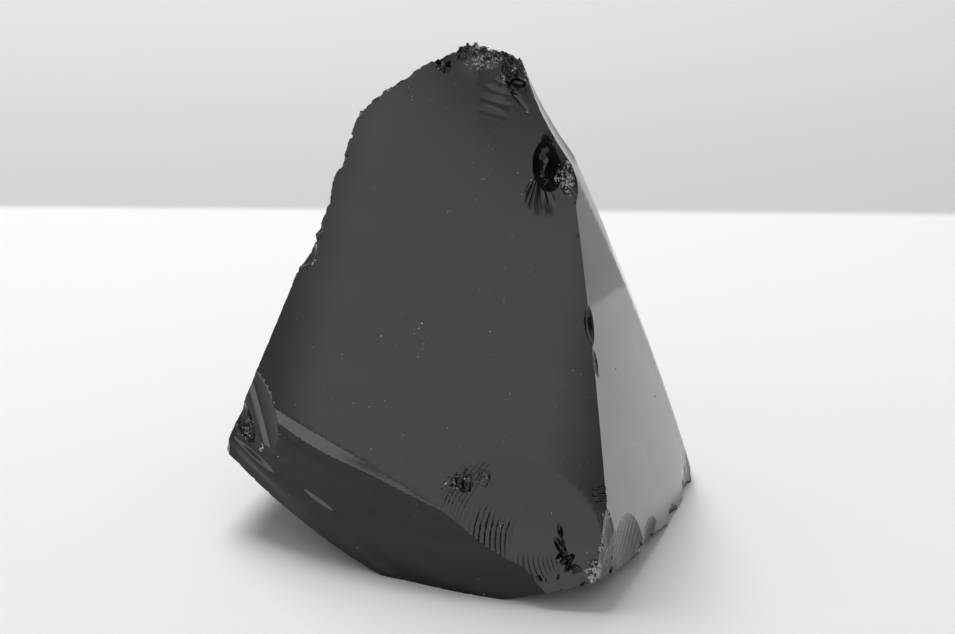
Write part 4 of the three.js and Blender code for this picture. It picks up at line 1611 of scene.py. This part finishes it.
@dataclass(frozen=True)
class PaperFinish:
    """White near the stone, and grey beyond the table's far edge that is darker towards the edge as painted
    shade.
    """

    back: float = 0.2295  # where the table ends, in metres behind the origin
    slope: float = 0.024
    edge: float = 0.008
    fade: float = 0.33
    whites: tuple[Colour, Colour] = ((0.862, 0.862, 0.868, 1.0), (0.882, 0.882, 0.886, 1.0))
    # the grey at the table's edge, darkened as painted shade, and the lighter grey further away
    painted_shade_greys: tuple[Colour, Colour] = ((0.585, 0.585, 0.572, 1.0), (0.66, 0.662, 0.655, 1.0))
    roughness: float = 0.9
    shine: float = 0.1

    def material(self) -> bpy.types.Material:
        """Builds the material.

        Returns:
            The material.
        """
        made = bpy.data.materials.new("table_paper")
        made.use_nodes = True
        wire = Wiring(made.node_tree)
        shader = made.node_tree.nodes["Principled BSDF"]
        place = wire.node("ShaderNodeTexCoord").outputs["Object"]
        split = wire.node("ShaderNodeSeparateXYZ", {0: place}).outputs
        skew = wire.math("MULTIPLY_ADD", split["X"], self.slope, split["Y"])
        beyond = wire.ramp(skew, self.back, self.back + self.edge)
        # painted shade: the grey band is darkest at the table's edge and lightens away from it
        away = wire.ramp(skew, self.back, self.back + self.fade)
        grey = wire.blend(away, *self.painted_shade_greys)
        fibres = wire.node("ShaderNodeTexNoise", {"Vector": place, "Scale": 900.0, "Detail": 3.0}).outputs[0]
        mottle = wire.node("ShaderNodeTexNoise", {"Vector": place, "Scale": 6.0, "Detail": 2.0}).outputs[0]
        white = wire.blend(mottle, *self.whites)
        wire.feed(shader.inputs["Base Color"], wire.blend(beyond, white, grey))
        relief = {"Strength": 0.05, "Distance": 0.0002, "Height": fibres}
        wire.feed(shader.inputs["Normal"], wire.node("ShaderNodeBump", relief).outputs[0])
        shader.inputs["Roughness"].default_value = self.roughness
        shader.inputs["Specular IOR Level"].default_value = self.shine
        return made


@dataclass
class Studio:
    """A white table top, a grey backdrop, soft light and the camera."""

    aim: Point = (4.0, 0.0, 57.0)
    camera_distance: float = 540.0
    camera_elevation: float = 22.0
    lens: float = 85.0
    sensor: float = 36.0
    view_reach: tuple[float, float] = (0.01, 20.0)
    table_half: float = 1.6
    table_flat: float = 0.95
    table_bend: float = 0.5
    table_rise: float = 1.6
    bend_steps: int = 12
    paper: PaperFinish = PaperFinish()
    overhead: Lamp = Lamp("overhead", (-0.22, 0.64, 1.3), 0.8, 16.4, (1.0, 0.992, 0.98))
    panes: tuple[Pane, ...] = (
        Pane((84.0, 170.0), (-10.0, 70.0), 10.0, 10.0, 1.0),
        Pane((0.0, 84.0), (-10.0, 46.0), 12.0, 8.0, 0.08),
        Pane((-38.0, -8.0), (-10.0, 12.0), 8.0, 3.0, 1.4),
        Pane((-67.0, -11.5), (10.0, 33.0), 7.0, 5.0, 1.5),
        Pane((-95.0, -38.0), (-10.0, 6.0), 12.0, 2.0, 2.6),
    )
    base_radiance: float = 0.62
    fill: float = 0.37  # the radiance that lights the table
    backing: float = 0.8  # the radiance that the camera sees past the backdrop
    room_colour: Colour = (0.97, 0.98, 1.0, 1.0)

    def camera(self) -> None:
        """Sets the camera where the stone is seen from a little above."""
        data = bpy.data.cameras.new("camera")
        data.lens = self.lens
        data.sensor_width = self.sensor
        data.clip_start, data.clip_end = self.view_reach
        made = bpy.data.objects.new("camera", data)
        bpy.context.scene.collection.objects.link(made)
        lean = math.radians(self.camera_elevation)
        ahead = np.array((0.0, math.cos(lean), -math.sin(lean)))
        made.location = to_metres(np.asarray(self.aim) - self.camera_distance * ahead)
        made.rotation_euler = (math.radians(90.0) - lean, 0.0, 0.0)
        bpy.context.scene.camera = made

    def table(self) -> None:
        """Sets up the table top, which runs up into the backdrop."""
        half, flat, bend = self.table_half, self.table_flat, self.table_bend
        profile = [(-half, 0.0), (flat, 0.0)]
        for step in range(1, self.bend_steps + 1):
            angle = 0.5 * math.pi * step / self.bend_steps
            profile.append((flat + bend * math.sin(angle), bend * (1.0 - math.cos(angle))))
        profile.append((flat + bend, self.table_rise))
        vertices = [(x, y, z) for y, z in profile for x in (-1.5 * half, 1.5 * half)]
        faces = [(2 * k, 2 * k + 1, 2 * k + 3, 2 * k + 2) for k in range(len(profile) - 1)]
        mesh = bpy.data.meshes.new("table")
        mesh.from_pydata(vertices, [], faces)
        mesh.polygons.foreach_set("use_smooth", [True] * len(faces))
        mesh.materials.append(self.paper.material())
        made = bpy.data.objects.new("table", mesh)
        bpy.context.scene.collection.objects.link(made)

    def room(self) -> None:
        """The room that the glass mirrors: a bright window side and a dark side."""
        world = bpy.data.worlds.new("room")
        bpy.context.scene.world = world
        world.use_nodes = True
        wire = Wiring(world.node_tree)
        background = world.node_tree.nodes["Background"]
        way = wire.node("ShaderNodeTexCoord").outputs["Generated"]
        split = wire.node("ShaderNodeSeparateXYZ", {0: way}).outputs
        ahead = wire.math("MULTIPLY", split["Y"], -1.0)
        azimuth = wire.math("DEGREES", wire.math("ARCTAN2", split["X"], ahead))
        elevation = wire.math("DEGREES", wire.math("ARCSINE", split["Z"]))
        total: object = self.base_radiance
        for pane in self.panes:
            total = pane.paint(wire, azimuth, elevation, total)
        path = wire.node("ShaderNodeLightPath").outputs
        cast = wire.between(path["Is Diffuse Ray"], total, self.fill)
        wire.feed(background.inputs["Strength"], wire.between(path["Is Camera Ray"], cast, self.backing))
        background.inputs["Color"].default_value = self.room_colour

    def build(self) -> None:
        """Sets the whole studio up."""
        self.table()
        self.overhead.hang()
        self.room()
        self.camera()
        bpy.context.scene.view_settings.view_transform = "Standard"


def main() -> None:
    """Builds the stone and the studio, and reports each piece."""
    logging.basicConfig(level=logging.INFO, format="%(name)s: %(message)s")
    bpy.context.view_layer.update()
    Studio().build()
    skins = stone_skins()
    stone = Stone(skins).build()
    crumbs = Crumbs(skins[Skin.CRUSHED], CRUMB_SPOTS).build(stone)
    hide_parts(STONE_NODE)
    for piece in (stone, crumbs):
        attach(piece, BODY)
        LOG.info("%s: %d faces", piece.name, len(piece.data.polygons))


if __name__ == "__main__":
    main()
